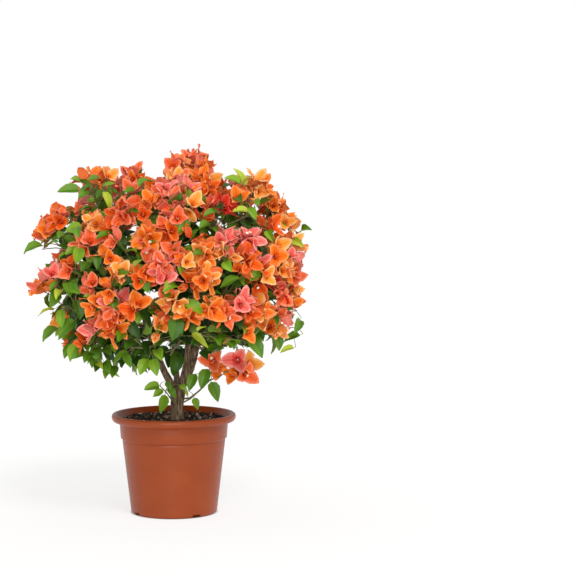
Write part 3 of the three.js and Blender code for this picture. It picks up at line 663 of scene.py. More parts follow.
def mass_at(out):
    """The mass whose wedge a direction falls in."""
    return max(wedges, key=lambda name: wedges[name].dot(out))


PLACES = 202
LOWEST, SKIRT_TOP = math.sin(math.radians(-52)), math.sin(math.radians(-20))
APART, WALL_ROOM = 0.25, 0.1


def spray_places():
    """The source's lattice of shoot ends, dealt to the masses and eased apart in each."""
    golden = math.pi * (3 - math.sqrt(5))
    places = {name: [] for name in masses}
    for half_step in range(2 * PLACES):
        i = half_step / 2
        height = 1 - (2 * i + 1) / PLACES
        if half_step % 2 and (i % 2 > 1 or height > SKIRT_TOP):
            continue
        if height < LOWEST:
            continue
        ring = math.sqrt(1 - height * height)
        out = Vector((ring * math.sin(i * golden), -ring * math.cos(i * golden), height))
        places[mass_at(out)].append(out)
    for _ in range(60):
        for name, own in places.items():
            moves = []
            for at in own:
                move = Vector()
                for other in own:
                    away = at - other
                    if 0 < away.length < APART:
                        move += away.normalized() * 0.3 * (APART - away.length)
                for wall in walls[name]:
                    move += wall * 0.6 * max(0, WALL_ROOM - wall.dot(at))
                move.z += 0.5 * max(0, LOWEST - at.z)
                moves.append(move)
            places[name] = [(at + move).normalized() for at, move in zip(own, moves)]
    return places


# The twigs. Each mass has one stem that grows on from its bough's tip, branches that leave the
# stem for groups of shoots, and the shoots, green-brown and as thin as a knitting pin.
twig_runs = {side: [] for side in sides}
stem_runs = []


def square_to(along):
    """Two directions square to a third and to each other."""
    up = Vector((0, 1, 0)) if abs(along.z) > 0.95 else UP
    side = along.cross(up).normalized()
    return side, side.cross(along).normalized()


def opened(axis, degrees, roll):
    """A direction that opens by some degrees from an axis, on the side that the roll picks."""
    side, top = square_to(axis)
    tilt = math.radians(degrees)
    aside = side * math.cos(roll) + top * math.sin(roll)
    return (axis * math.cos(tilt) + aside * math.sin(tilt)).normalized()


def jitter(amount):
    """A small random vector, to turn a direction by."""
    return Vector([chance.gauss(0, amount) for _ in range(3)])


BOW = 0.35


def grow_twig(runs, start, launch, end, landing, thick, thin, count=5):
    """A bowed twig. It leaves by one heading, arrives by another, and tapers."""
    reach = (end - start).length
    points = bend(start, start + launch * BOW * reach, end - landing * BOW * reach, end, count)
    radii = [thick + (thin - thick) * i / (count - 1) for i in range(count)]
    runs.append((points, radii))
    return points


def standing(across, upper, along):
    """A turn that sets a shape's own x, y and z along three directions, never mirrored."""
    turn = Matrix((across, upper, along)).transposed()
    if turn.determinant() < 0:
        turn = Matrix((-across, upper, along)).transposed()
    return turn.to_4x4()


# The leaves. Ovate blades, most of them 28 to 54 mm long, with a drawn-out tip, folded a little on
# the midrib and arched, green above and paler beneath, and yellower where they are young. Each
# shape is a grid drawn in to the leaf's outline and given thickness. Six of them are dealt out.
leaf_outline = [
    (0, 0.1), (0.1, 0.68), (0.25, 1), (0.45, 1), (0.65, 0.8), (0.82, 0.44), (0.93, 0.18), (1, 0.015),
]
leaf_rows = [0, 0.11, 0.32, 0.57, 0.82, 1]
LEAF_LENGTH, LEAF_HALF_WIDTH, LEAF_STALK = 50, 14.5, 8
THICKNESS = 0.5
leaf_copies = {side: [] for side in sides}
leaf_shapes = []


def width_at(table, t):
    """The share of its full width that an outline has at a share of its length."""
    for (low, narrow), (high, wide) in zip(table, table[1:]):
        if t <= high:
            return narrow + (wide - narrow) * (t - low) / (high - low)
    return table[-1][1]


for arch, fold, ripple, twist in [
    (58, 0.45, 1.2, 0.0), (84, 0.34, 1.8, 0.3), (40, 0.6, 1.0, -0.25), (66, 0.25, 2.2, -0.4),
    (96, 0.5, 1.4, 0.2), (28, 0.4, 1.7, 0.45),
]:
    blade = bmesh.new()
    bmesh.ops.create_grid(blade, x_segments=4, y_segments=5, size=0.5)
    phase = chance.uniform(0, 6.3)
    half_arch = math.radians(arch) / 2
    radius = LEAF_LENGTH / 2 / math.sin(half_arch)
    for vert in blade.verts:
        u, row = 2 * vert.co.x, round((vert.co.y + 0.5) * 5)
        t = leaf_rows[row]
        half = LEAF_HALF_WIDTH * width_at(leaf_outline, t)
        angle = half_arch * (2 * t - 1)
        lift = half * fold * abs(u) ** 1.2 + ripple * u * u * math.sin(9 * t + phase + 2 * u)
        roll = twist * t
        aside, above = u * half * math.cos(roll), lift + u * half * math.sin(roll)
        forward = radius * (math.sin(angle) + math.sin(half_arch))
        upward = radius * (math.cos(angle) - math.cos(half_arch))
        vert.co = (aside, forward + above * math.sin(angle), upward + above * math.cos(angle))
    bmesh.ops.recalc_face_normals(blade, faces=blade.faces[:])
    if sum((face.normal for face in blade.faces), Vector()).z < 0:
        bmesh.ops.reverse_faces(blade, faces=blade.faces[:])
    bmesh.ops.solidify(blade, geom=blade.faces[:], thickness=THICKNESS)
    bmesh.ops.recalc_face_normals(blade, faces=blade.faces[:])
    # Faces on one half of the upper side take the lighter green: a painted highlight.
    for face in blade.faces:
        painted_lit_half = face.calc_center_median().x > 0
        face.material_index = 2 if face.normal.z < -0.05 else int(painted_lit_half)
    leaf_shapes.append(shape_arrays(mesh_of(blade, "leaf", sharp_from=50)))

# Leaf tissue: a waxy skin with a soft sheen, paler beneath. One half of the upper face is painted
# a little lighter, a painted highlight, as if it turned to the light. The greens are dealt out by
# age, and the darker ones deep in the crown and on its underside are painted shade.
leaf_tints = "ybmds"
leaf_finishes = []
for name, upper, painted_lit_green, under in [
    ("young", "#9aaa22", "#b2be3a", "#b0ba46"), ("bright", "#6a9418", "#82a628", "#8ea63a"),
    ("mid", "#4e7a10", "#628a1e", "#72902c"), ("deep", "#375e0d", "#456c14", "#557822"),
    ("shaded", "#203e0a", "#2b4b0f", "#3a5b1a"),
]:
    for part, colour in (("upper", upper), ("upper_painted_lit", painted_lit_green), ("under", under)):
        leaf_finishes.append(
            finish(f"{name}_leaf_{part}", colour, Roughness=0.42, Specular_IOR_Level=0.28)
        )


def grow_leaf(side, root, out, face, length, tint, stalk=LEAF_STALK, in_room=True):
    """A leaf on its stalk, which leaves the twig at root and heads out with its face turned up."""
    base = root + out * stalk
    if in_room and not (has_room(base + out * length * 0.5) and has_room(base + out * length)):
        return
    twig_runs[side].append(([root, base + out], [0.75, 0.55]))
    across = out.cross(face).normalized()
    turn = standing(across, out, across.cross(out))
    scale = length / LEAF_LENGTH
    wide = chance.uniform(0.9, 1.15) * (0.78 if tint == "y" else 1)
    fit = Matrix.Translation(base) @ turn @ Matrix.Diagonal((scale * wide, scale, scale, 1))
    leaf_copies[side].append((chance.randrange(len(leaf_shapes)), fit, leaf_tints.index(tint)))


def squared(want, out):
    """The direction square to a leaf's blade that is nearest to the one wanted."""
    return (want - out * want.dot(out)).normalized()


def leaf_tint(outward, depth):
    """Young leaves stand at the shoot's end, and leaves further back are darker, partly by age.
    Greens are lighter on the crown's top and darker deep inside and underneath: painted light and shade.
    """
    # Painted light and shade: the value rises for leaves that face up, and falls with depth in the crown.
    light = 0.69 + 0.08 * outward.z - depth + chance.gauss(0, 0.17)
    return leaf_tints[sum(light < step for step in (0.95, 0.68, 0.42, 0.2))]


def leafy_shoot(side, points, outward, count, first, gap, length, depth=0.0):
    """Leaves that alternate along a twig, from its end back."""
    total = sum((b - a).length for a, b in zip(points, points[1:]))
    roll = chance.uniform(0, 2 * math.pi)
    for i in range(count):
        back = first + gap * (i + chance.uniform(-0.25, 0.25))
        if back > total:
            break
        root, along = point_along(points, 1 - max(0, back) / total)
        roll += math.radians(137.5 + chance.gauss(0, 14))
        angle = 24 if i == 0 and first < 3 else chance.uniform(52, 78)
        out = (opened(along, angle, roll) + UP * -0.3 + jitter(0.12)).normalized()
        size = length * chance.uniform(0.78, 1.12) * (0.72 if i == 0 else 1)
        # Leaves further back from the shoot's end get darker greens, partly age and partly painted shade.
        tint = leaf_tint(outward, depth + 0.1 * min(i, 3) - (0.15 if i == 0 else 0))
        facing = UP + outward * 0.7 + jitter(0.3)
        grow_leaf(side, root, out, squared(facing, out), size, tint)


# The blossoms. Each is three papery bracts, most of them 30 to 45 mm long, in a cup round three
# slender tubes. A bract is a grid drawn in to a broad pointed outline, curved out, cupped, creased
# on its rib and ruffled, with thickness. Eight blossoms and two buds are dealt out.
bract_outline = [
    (0, 0.2), (0.14, 0.66), (0.3, 0.95), (0.45, 1), (0.62, 0.92), (0.8, 0.62), (0.92, 0.3), (1, 0.02),
]
bract_rows = [0, 0.17, 0.37, 0.6, 0.84, 1]
bract_columns = [-1, -0.62, -0.1, 0.1, 0.62, 1]
bract_copies = {side: [] for side in sides}
star_copies = {side: [] for side in sides}
FULL_SHAPES, BUD_SHAPES = 8, 2
bract_shapes = []
for number in range(FULL_SHAPES + BUD_SHAPES):
    bud = number >= FULL_SHAPES
    cup = bmesh.new()
    for third in range(3):
        laid = bmesh.ops.create_grid(cup, x_segments=5, y_segments=5, size=0.5)["verts"]
        sheet = list({face for vert in laid for face in vert.link_faces})
        for face in sheet:
            middle = face.calc_center_median()
            row, column = int((middle.y + 0.5) * 5), int((middle.x + 0.5) * 5)
            on_edge, on_rib = column in (0, 4) and row in (1, 2, 3), column == 2 and row > 0
            face.material_index = [0, 1, 2, 2, 3][row] + on_edge - on_rib
        length = chance.uniform(32, 39) * (0.85 if bud else 1)
        half_width = chance.uniform(10.6, 13.6) * (0.65 if bud else 1)
        close, spread = (4, 18) if bud else (chance.uniform(8, 26), chance.uniform(40, 88))
        hollow = chance.uniform(0.28, 0.42) * (2 if bud else 1)
        ruffle, waves = chance.uniform(2.2, 4.2), chance.uniform(7, 12)
        phase, swing = chance.uniform(0, 6.3), chance.uniform(-0.2, 0.2)
        rib = [Vector((0, 1.6, 0))]
        for step in range(100):
            tilt = math.radians(close + (spread - close) * ((step + 0.5) / 100) ** 1.3)
            rib.append(rib[-1] + Vector((0, math.sin(tilt), math.cos(tilt))) * length / 100)
        for vert in laid:
            u = bract_columns[round((vert.co.x + 0.5) * 5)]
            t = bract_rows[round((vert.co.y + 0.5) * 5)]
            half = half_width * width_at(bract_outline, t)
            tilt = math.radians(close + (spread - close) * t**1.3)
            inward = Vector((0, -math.cos(tilt), math.sin(tilt)))
            lift = half * hollow * abs(u) ** 1.5 * (1 - 1.1 * t)
            lift += ruffle * t * abs(u) ** 2.5 * math.sin(waves * t + phase + 1.8 * u)
            lift += 0.8 * (abs(u) < 0.2)
            vert.co = rib[round(100 * t)] + inward * lift + Vector((u * half + swing * half * t, 0, 0))
        bmesh.ops.recalc_face_normals(cup, faces=sheet)
        if sum((face.normal for face in sheet), Vector()).y > 0:
            bmesh.ops.reverse_faces(cup, faces=sheet)
        walled = bmesh.ops.solidify(cup, geom=sheet, thickness=THICKNESS)
        outer = [e for e in walled["geom"] if isinstance(e, bmesh.types.BMFace)]
        for face in outer:
            face.material_index = 4
        every = list({vert for face in sheet + outer for vert in face.verts})
        bmesh.ops.rotate(
            cup, verts=every, cent=(0, 0, 0),
            matrix=Matrix.Rotation(math.radians(120 * third + chance.uniform(-9, 9)), 3, "Z"),
        )
    bract_shapes.append(shape_arrays(mesh_of(cup, "blossom", sharp_from=60)))

# Bract tissue: thin, papery and matt, deep at the throat and paler or pinker towards the rim.
# Blossoms age from flame through apricot and coral to rose.
# Flame is also set for blossoms that sit in shade, and there it is partly painted shade.
bract_tints = "aofcrs"
bract_finishes = []
for name, throat, deep, body, rim, back in [
    ("apricot", "#d85e0c", "#ee8a26", "#f4a044", "#f8bc80", "#f09c5c"),
    ("orange", "#c83e06", "#e05e10", "#ea741e", "#f09250", "#e87840"),
    ("flame", "#b83004", "#d24608", "#e05a12", "#ea763a", "#e06436"),
    ("coral", "#c43a0e", "#de5220", "#e86a3c", "#f08a68", "#e67a60"),
    ("rose", "#cc3430", "#e4544c", "#f07468", "#f89e90", "#ec8c7e"),
    ("scarlet", "#a0140a", "#ba2012", "#cc3220", "#dc5240", "#c02c1e"),
]:
    parts = {"throat": throat, "deep": deep, "body": body, "rim": rim, "back": back}
    for part, colour in parts.items():
        bract_finishes.append(
            finish(f"{name}_bract_{part}", colour, Roughness=0.66, Specular_IOR_Level=0.1)
        )

# The true flowers: a slender tube 16 mm long, coral and a little waisted, that ends in a cream
# star of five ruffled lobes when it has opened and in a blunt tip before.
LOBE_OUT, LOBE_GAP_OUT = 4.8, 2.6
star_shapes = []


def next_ring(shape, loop):
    """Extrudes a ring of edges, and gives the new ring's points and edges."""
    made = bmesh.ops.extrude_edge_only(shape, edges=loop)["geom"]
    kinds = (bmesh.types.BMVert, bmesh.types.BMEdge)
    return [[element for element in made if isinstance(element, kind)] for kind in kinds]


for is_open in (True, False):
    tube = bmesh.new()
    ring = bmesh.ops.create_circle(tube, segments=10 if is_open else 5, radius=0.7)["verts"]
    loop = list({edge for vert in ring for edge in vert.link_edges})
    for height, radius in [(6, 1.3), (11, 0.8), (16, 1.5)]:
        ring, loop = next_ring(tube, loop)
        for vert in ring:
            vert.co = (*(vert.co.xy.normalized() * radius), height)
    wall = set(tube.faces)
    if is_open:
        ring, loop = next_ring(tube, loop)
        for vert in ring:
            turn = math.atan2(vert.co.y, vert.co.x)
            is_lobe = round(turn / (math.pi / 5)) % 2
            out = LOBE_OUT if is_lobe else LOBE_GAP_OUT
            vert.co = (out * math.cos(turn), out * math.sin(turn), 17.4 if is_lobe else 16.8)
    bmesh.ops.contextual_create(tube, geom=loop)
    bmesh.ops.holes_fill(tube, edges=tube.edges[:], sides=0)
    for face in tube.faces:
        face.material_index = int(is_open and face not in wall)
    bmesh.ops.recalc_face_normals(tube, faces=tube.faces[:])
    star_shapes.append(shape_arrays(mesh_of(tube, "star", sharp_from=50)))
star_finishes = [
    finish("flower_tube", "#cf6a3c", Roughness=0.5),
    finish("cream_star", "#f7efcf", Roughness=0.5),
]


BLOSSOM_MIDDLE = 18


def grow_blossom(side, root, axis, stalk, size, tint, stars=0, young=False, margin=8):
    """A blossom on its stalk, with the tubes and stars inside its cup, where there is room."""
    foot = root + axis * stalk
    if margin is not None and not has_room(foot + axis * BLOSSOM_MIDDLE * size, margin):
        return
    twig_runs[side].append(([root, root.lerp(foot, 0.6), foot + axis * 3 * size], [0.8, 0.65, 1.1]))
    across, upper = square_to(axis)
    spin = Matrix.Rotation(chance.uniform(0, 2 * math.pi), 4, "Z")
    fit = Matrix.Translation(foot) @ standing(across, upper, axis) @ spin
    fit @= Matrix.Diagonal((size, size, size, 1))
    shape = FULL_SHAPES + chance.randrange(BUD_SHAPES) if young else chance.randrange(FULL_SHAPES)
    bract_copies[side].append((shape, fit, bract_tints.index(tint)))
    if young:
        return
    for third in range(3):
        lean = opened(axis, chance.uniform(6, 18), chance.uniform(0, 6.3))
        across, upper = square_to(lean)
        is_open = third < stars
        length = chance.uniform(1, 1.2) if is_open else chance.uniform(0.65, 0.9)
        fit = Matrix.Translation(foot + lean * 2) @ standing(across, upper, lean)
        fit @= Matrix.Diagonal((1, 1, length, 1))
        star_copies[side].append((0 if is_open else 1, fit, 0))


def blossom_cluster(side, end, axis, heads, size, margin=8):
    """Blossoms on short stalks round a shoot's end. Heads are tints, with a star after some.
    More of the same tints, some of them buds, fill the cluster out."""
    tints = [letter for letter in heads if letter != "*"]
    starred = [heads[i : i + 2].endswith("*") for i, letter in enumerate(heads) if letter != "*"]
    more = [chance.choice(tints) for _ in range(round(0.7 * len(tints)))]
    budding = [False] * len(tints) + [chance.random() < 0.3 for _ in more]
    tints, starred = tints + more, starred + [False] * len(more)
    ringed = len(tints) > 3
    roll = chance.uniform(0, 2 * math.pi)
    for i, (tint, star, bud) in enumerate(zip(tints, starred, budding)):
        tilt = chance.uniform(44, 72) if ringed else chance.uniform(30, 50)
        if len(tints) == 1 or ringed and i == 0:
            tilt = chance.uniform(0, 12)
        roll += 2 * math.pi / (len(tints) - ringed) + chance.gauss(0, 0.2)
        out = (opened(axis, tilt, roll) + jitter(0.06)).normalized()
        start = end - axis * chance.uniform(0, 6)
        own_size = size * chance.uniform(0.74, 1.1)
        stars = star * chance.choice((1, 1, 2))
        grow_blossom(side, start, out, chance.uniform(4, 9), own_size, tint, stars, bud, margin)


# The blossoming front. Each cluster of blossoms that the photo shows, by the dot at its middle
# and the tints of its blossoms: a star marks an open flower, and an arrow a cluster that faces
# the camera. Then each leaf that shows, from its base's dot to its tip's, with its tint.
# Clusters that sit in shade take darker tints such as flame: partly painted shade.
front_clusters = [
    (97, 170, "ooa"), (86, 170, "o"), (132, 167, "coc"), (129, 180, "cr"), (51, 214, "cfco"),
    (40, 224, "oof"), (89, 216, "aooao*"), (106, 222, "ff"), (84, 242, "cc"), (107, 251, "o"),
    (122, 204, "cffc"), (113, 234, "c"), (150, 195, "oof"), (141, 206, "ff"), (179, 156, "cao*"),
    (196, 151, "cc"), (203, 159, "co"), (180, 171, "cac"), (203, 171, "oca"), (174, 192, "coc"),
    (166, 180, "rcrc"), (190, 183, "rarar"), (209, 184, "fofo"), (214, 200, "cc"),
    (227, 199, "sss"), (258, 178, "aoaoa"), (238, 189, "oo"), (280, 197, "aofo"), (270, 218, "f"),
    (291, 213, "oaa"), (299, 235, "aoa"), (281, 237, "oa"), (190, 209, ">a"), (201, 208, "f"),
    (175, 210, "cc"), (145, 228, "oo*oa"), (166, 224, "cfc"), (194, 232, "f"), (144, 248, ">c*"),
    (172, 248, "cfc"), (187, 252, "ao"), (207, 245, "oaoa"), (231, 236, "rcr"), (249, 230, "r*rr*"),
    (252, 251, "fcf"), (265, 258, "rf"), (226, 256, ">a*"), (246, 268, "o"), (158, 262, "ccr"),
    (166, 275, "rc*r"), (193, 277, "oa*o"), (210, 273, "ao*o"), (120, 268, "aoa"), (138, 274, "of"),
    (105, 284, "o"), (62, 265, "fc"), (42, 270, "r"), (35, 285, "oco"), (84, 284, "cc"),
    (89, 300, "oo"), (106, 301, "r*rc"), (122, 308, ">c*"), (130, 302, "fo"), (90, 324, "rc"),
    (105, 325, "fof"), (98, 312, "co"), (112, 316, "of"), (78, 339, "f"), (172, 301, ">aa*"),
    (162, 313, "ff"), (158, 332, ">a"),
    (189, 315, "oo"), (212, 308, "o*o"), (228, 309, "cc*f"), (244, 296, "rrc"), (252, 311, "fcfc"),
    (253, 326, "oo"), (270, 310, "oao"), (281, 326, "aoa"), (289, 310, "rc"), (286, 288, "cscs"),
    (303, 303, "of"), (289, 264, "aoao"), (271, 268, "oa"), (281, 250, "ao"), (299, 252, "r"),
]
# Each leaf's tint follows how light it shows: bright is partly painted light, deep and shaded partly
# painted shade.
front_leaves = [
    (81, 182, 70, 179, "b"), (79, 190, 57, 192, "m"), (100, 178, 88, 181, "m"), (103, 189, 115, 184, "b"),
    (104, 192, 96, 199, "d"), (104, 192, 110, 210, "y"), (82, 226, 65, 231, "b"), (78, 228, 79, 238, "m"),
    (112, 233, 95, 240, "m"), (82, 244, 65, 255, "b"), (80, 246, 76, 264, "b"), (43, 246, 24, 254, "m"),
    (47, 247, 59, 242, "m"), (65, 234, 58, 239, "m"), (97, 255, 97, 270, "d"), (90, 262, 81, 272, "d"),
    (135, 191, 124, 193, "m"), (150, 182, 138, 187, "m"), (128, 213, 139, 213, "d"),
    (185, 198, 168, 204, "d"), (205, 203, 193, 197, "m"), (218, 212, 203, 217, "m"),
    (214, 207, 223, 209, "s"), (247, 212, 232, 212, "y"), (248, 208, 256, 220, "b"),
    (244, 186, 233, 168, "y"), (240, 183, 224, 178, "b"), (246, 185, 250, 177, "y"),
    (231, 186, 222, 188, "s"), (252, 201, 259, 206, "b"), (236, 198, 242, 202, "d"),
    (267, 231, 273, 242, "b"), (292, 240, 304, 247, "y"), (301, 232, 312, 230, "m"),
    (190, 222, 178, 234, "m"), (208, 223, 199, 229, "m"), (205, 253, 193, 255, "m"),
    (224, 262, 232, 272, "b"), (258, 264, 255, 280, "b"), (258, 274, 250, 282, "m"),
    (240, 278, 220, 288, "m"), (143, 277, 148, 293, "m"), (133, 262, 143, 258, "b"),
    (118, 277, 130, 272, "m"), (112, 286, 138, 282, "d"), (176, 285, 163, 292, "b"),
    (185, 303, 203, 316, "b"), (176, 316, 172, 341, "d"), (183, 320, 182, 336, "d"),
    (192, 333, 208, 348, "y"), (198, 331, 206, 327, "y"), (57, 293, 50, 308, "m"), (54, 309, 38, 316, "y"),
    (62, 310, 62, 328, "b"), (74, 321, 58, 340, "m"), (58, 328, 43, 342, "m"), (76, 300, 80, 320, "d"),
    (58, 282, 50, 292, "m"), (66, 283, 70, 297, "m"), (62, 290, 56, 300, "y"), (70, 288, 80, 294, "m"),
    (78, 342, 70, 362, "b"), (70, 345, 64, 359, "m"), (90, 352, 84, 363, "m"), (95, 348, 100, 358, "d"),
    (104, 348, 112, 356, "d"), (128, 352, 114, 366, "m"), (124, 354, 131, 368, "m"),
    (113, 366, 112, 378, "m"), (98, 362, 103, 368, "y"), (122, 332, 118, 342, "m"),
    (128, 340, 126, 350, "d"), (140, 310, 150, 328, "s"), (132, 322, 140, 338, "s"),
    (148, 359, 140, 375, "b"), (153, 359, 157, 376, "b"), (156, 350, 162, 361, "b"),
    (225, 318, 222, 332, "s"), (213, 314, 216, 328, "s"), (235, 316, 240, 330, "s"),
    (250, 338, 262, 358, "m"), (275, 333, 279, 351, "m"), (300, 335, 284, 342, "m"),
    (293, 348, 280, 353, "y"), (300, 320, 294, 334, "m"), (214, 338, 220, 346, "m"),
    (228, 342, 234, 350, "m"), (202, 350, 208, 360, "s"), (96, 356, 92, 368, "m"),
    (104, 362, 110, 374, "m"), (109, 369, 105, 379, "b"), (84, 345, 88, 352, "m"),
    (99, 365, 95, 372, "d"), (90, 186, 80, 196, "d"), (88, 192, 78, 199, "m"),
    (84, 350, 72, 359, "m"),
]


def flowering_shoot(side, root, along, end, axis, size, heads, outward, margin=8):
    """A shoot with a few leaves that ends in a cluster of blossoms."""
    points = grow_twig(twig_runs[side], root, along, end, axis, thick=1.7, thin=1.1)
    blossom_cluster(side, end, axis, heads, size, margin)
    count = chance.choice((2, 3))
    leafy_shoot(side, points, outward, count, first=12, gap=17, length=42, depth=0.1)


def green_shoot(side, root, along, end, axis, outward, length=46, depth=0.0):
    """A shoot with leaves to its end."""
    points = grow_twig(twig_runs[side], root, along, end, axis, thick=1.6, thin=0.9)
    count = chance.choice((7, 8, 9))
    leafy_shoot(side, points, outward, count, first=0, gap=13, length=length, depth=depth)


def bloom_share(out):
    """How many of the shoots bloom in a direction: most of them above, and few underneath."""
    share = min(1, max(0, (rise_of(out) + 30) / 20))
    return 0.05 + 0.85 * share * share * (3 - 2 * share)


# How far out the branches leave the stem's end and divide into shoots, as shares of the crown's
# reach, and how near the mass's axis, in radians, the shoots spring from the stem's end.
HUB_AT, KNOT_AT, NEAR_AXIS = 0.68, 0.74, 0.17
perches = []
branches = []
for mass, places in spray_places().items():
    side = side_of[mass]
    tip, axis = limb_tips[mass]
    hub = HEART + axis * HUB_AT * crown_reach(axis)
    across, top = square_to(axis)
    stem_runs.append(([tip - axis * 6, tip.lerp(hub, 0.5), hub], [4.6, 3.9, 2.9]))
    ordered = sorted(places, key=lambda out: math.atan2(out.dot(top), out.dot(across)))
    inner = [out for out in ordered if out.angle(axis) < NEAR_AXIS]
    outer = [out for out in ordered if out.angle(axis) >= NEAR_AXIS]
    group_count = max(1, round(len(outer) / 3))
    groups = [
        [out for i, out in enumerate(outer) if i * group_count // len(outer) == g]
        for g in range(group_count)
    ]
    if inner:
        groups.append(inner)
    for g, group in enumerate(groups):
        middle = sum(group, Vector()).normalized()
        leaves_at = 0.97 if group is inner else 0.25 + 0.65 * ((g * 0.618) % 1)
        joint = tip.lerp(hub, leaves_at)
        knot = HEART + middle * (KNOT_AT + 0.06 * chance.random()) * crown_reach(middle)
        launch = (axis + middle).normalized()
        branch = grow_twig(stem_runs, joint, launch, knot, middle, thick=2.7, thin=1.9, count=6)
        branches.append((side, branch, middle, group))
        for step in range(12):
            perches.append((*point_along(branch, 0.3 + 0.68 * step / 11), side))


def nearest_perch(spot):
    """The nearest place on a branch, with its heading, that is nearer to the crown's heart."""
    deeper = (spot - HEART).length - 10
    inner = (perch for perch in perches if (perch[0] - HEART).length < deeper)
    return min(inner, key=lambda perch: (perch[0] - spot).length)


BRACT_REACH = 30
shown = []
for x, y, heads in front_clusters:
    spot = seen_at(x, y) - sight(x, y) * chance.uniform(-12, 12)
    outward = (spot - HEART).normalized()
    axis = (outward * 0.9 + UP * 0.45 + jitter(0.16)).normalized()
    if heads[0] == ">":
        axis = (jitter(0.1) - sight(x, y)).normalized()
        heads = heads[1:]
    end = spot - axis * BRACT_REACH
    root, along, side = nearest_perch(end)
    size = chance.uniform(1.08, 1.26)
    flowering_shoot(side, root, along, end, axis, size, heads, outward, margin=1.5)
    shown.append((x, y))
for x0, y0, x1, y1, tint in front_leaves:
    away = (seen_at((x0 + x1) / 2, (y0 + y1) / 2) - EYE).length + chance.uniform(4, 26)
    base, tip = EYE + sight(x0, y0) * away, EYE + sight(x1, y1) * away
    length = max((tip - base).length, chance.uniform(36, 43))
    toward = math.sqrt(length**2 - (tip - base).length ** 2)
    out = (tip - base - sight(x0, y0) * toward).normalized()
    base -= out * LEAF_STALK
    root, along, side = nearest_perch(base)
    grow_twig(twig_runs[side], root, along, base, out, thick=1.3, thin=0.8)
    facing = UP * 0.7 - sight(x0, y0) * 0.7 + jitter(0.25)
    grow_leaf(side, base, out, squared(facing, out), length, tint, in_room=False)
    shown.append(((x0 + x1) / 2, (y0 + y1) / 2))

# The rest of the crown, by the source's rule: a shoot to each place of the lattice. Those that
# face the camera stay further in, and fill the space between the clusters above with leaves in
# darker greens, painted shade.
toward_eye = (EYE - HEART).normalized()
TINT_SHARES = [16, 27, 22, 20, 13, 2]
near_tints = {"a": "aao", "o": "ooaf", "f": "ffoc", "c": "ccfr", "r": "rrc", "s": "sf"}
TAKEN_WITHIN = 13
LEAF_ROOM, BLOSSOM_ROOM = 36, 40


def drawn_in(out, reach, margin):
    """A shoot's end so far out from the heart, drawn in by up to 90 mm until it has room."""
    ends = [HEART + out * (reach - by) for by in range(0, 91, 9)]
    return next((end for end in ends if has_room(end, margin)), None)


for side, branch, middle, group in branches:
    # The leaves along the branches, inside the crown, get the darkest greens: painted shade.
    leafy_shoot(side, branch, middle, count=11, first=6, gap=12, length=50, depth=0.4)
    for i, out in enumerate(group):
        root, along = point_along(branch, 0.97 - 0.4 * i / len(group))
        share = chance.uniform(0.93, 1.03)
        facing = (out * 2 + UP * 0.4).normalized()
        x, y = on_screen(HEART + out * crown_reach(out))
        taken = any(math.hypot(x - sx, y - sy) < TAKEN_WITHIN for sx, sy in shown)
        if taken and out.dot(toward_eye) > 0.1:
            end = drawn_in(out, crown_reach(out) * 0.9 - LEAF_ROOM, margin=4)
            if end:
                green_shoot(side, root, along, end, facing, out, length=44, depth=0.25)
        elif chance.random() < bloom_share(out):
            end = drawn_in(out, crown_reach(out) * share - BLOSSOM_ROOM, margin=11)
            near = near_tints[chance.choices(bract_tints, TINT_SHARES)[0]]
            heads = "".join(chance.choice(near) for _ in range(chance.choice((4, 5, 5, 6))))
            if chance.random() < 0.4:
                heads += "*"
            if end:
                size = chance.uniform(1.04, 1.2)
                flowering_shoot(side, root, along, end, facing, size, heads, out)
        else:
            end = drawn_in(out, crown_reach(out) * share - LEAF_ROOM, margin=4)
            if end:
                green_shoot(side, root, along, end, (facing + UP * -0.35).normalized(), out)


# The low shoots. One leaves the trunk on the right, runs up in front and ends in seven blossoms,
# and two lesser ones bear nothing but leaves. The lists give the photo's dots and how far in front
# of the pot's axis each point stands.
def in_plane(x, y, front):
    """The point that the camera sees at a dot of the photo, so far in front of the pot's axis."""
    ray = sight(x, y)
    return EYE + ray * ((-front - EYE.y) / ray.y)


low_paths = [
    (0.62, [(190, 398, 12), (199, 391, 16), (210, 380, 22), (219, 377, 28), (226, 372, 30)]),
    (0.5, [(171, 399, 18), (166, 392, 22), (160, 386, 24)]),
    (0.5, [(184, 402, 16), (190, 399, 22), (196, 394, 26)]),
]
low_blossoms = [
    (212, 360, 48, "c", 1.35, (-0.2, 0.2)), (217, 369, 24, "o", 1.15, (0.2, -0.1)),
    (237, 360, 52, "r", 1.45, (-0.1, 0.1)), (252, 364, 30, "a", 1.25, (0.6, 0.1)),
    (247, 375, 48, "c", 1.35, (0.35, -0.1)), (231, 376, 30, "o", 0.95, (-0.4, -0.1)),
    (240, 370, 20, "o", 1.25, (0.05, 0.1)),
]
# Leaves behind the trunk take the deep and shaded tints, painted shade; those in front are brighter,
# partly painted light.
low_leaves = [
    (159, 386, 144, 390, "b", 30), (163, 390, 153, 397, "b", 30), (165, 395, 160, 413, "b", 30),
    (166, 382, 172, 391, "m", 30), (169, 388, 176, 398, "m", 30), (180, 385, 187, 391, "b", 30),
    (186, 391, 188, 397, "y", 30), (195, 374, 189, 391, "m", 30), (207, 369, 201, 389, "m", 30),
    (211, 382, 218, 402, "m", 30), (194, 398, 198, 410, "b", 30), (200, 383, 204, 388, "b", 30),
    (172, 349, 168, 368, "s", -24), (178, 352, 173, 376, "d", -20), (176, 346, 181, 364, "s", -34),
    (186, 348, 184, 364, "s", -40), (204, 348, 206, 365, "s", -30), (196, 345, 190, 358, "d", -36),
    (166, 346, 161, 360, "d", -20), (206, 346, 210, 362, "s", -20),
]
LOW_STALK = 8
low_wood = []
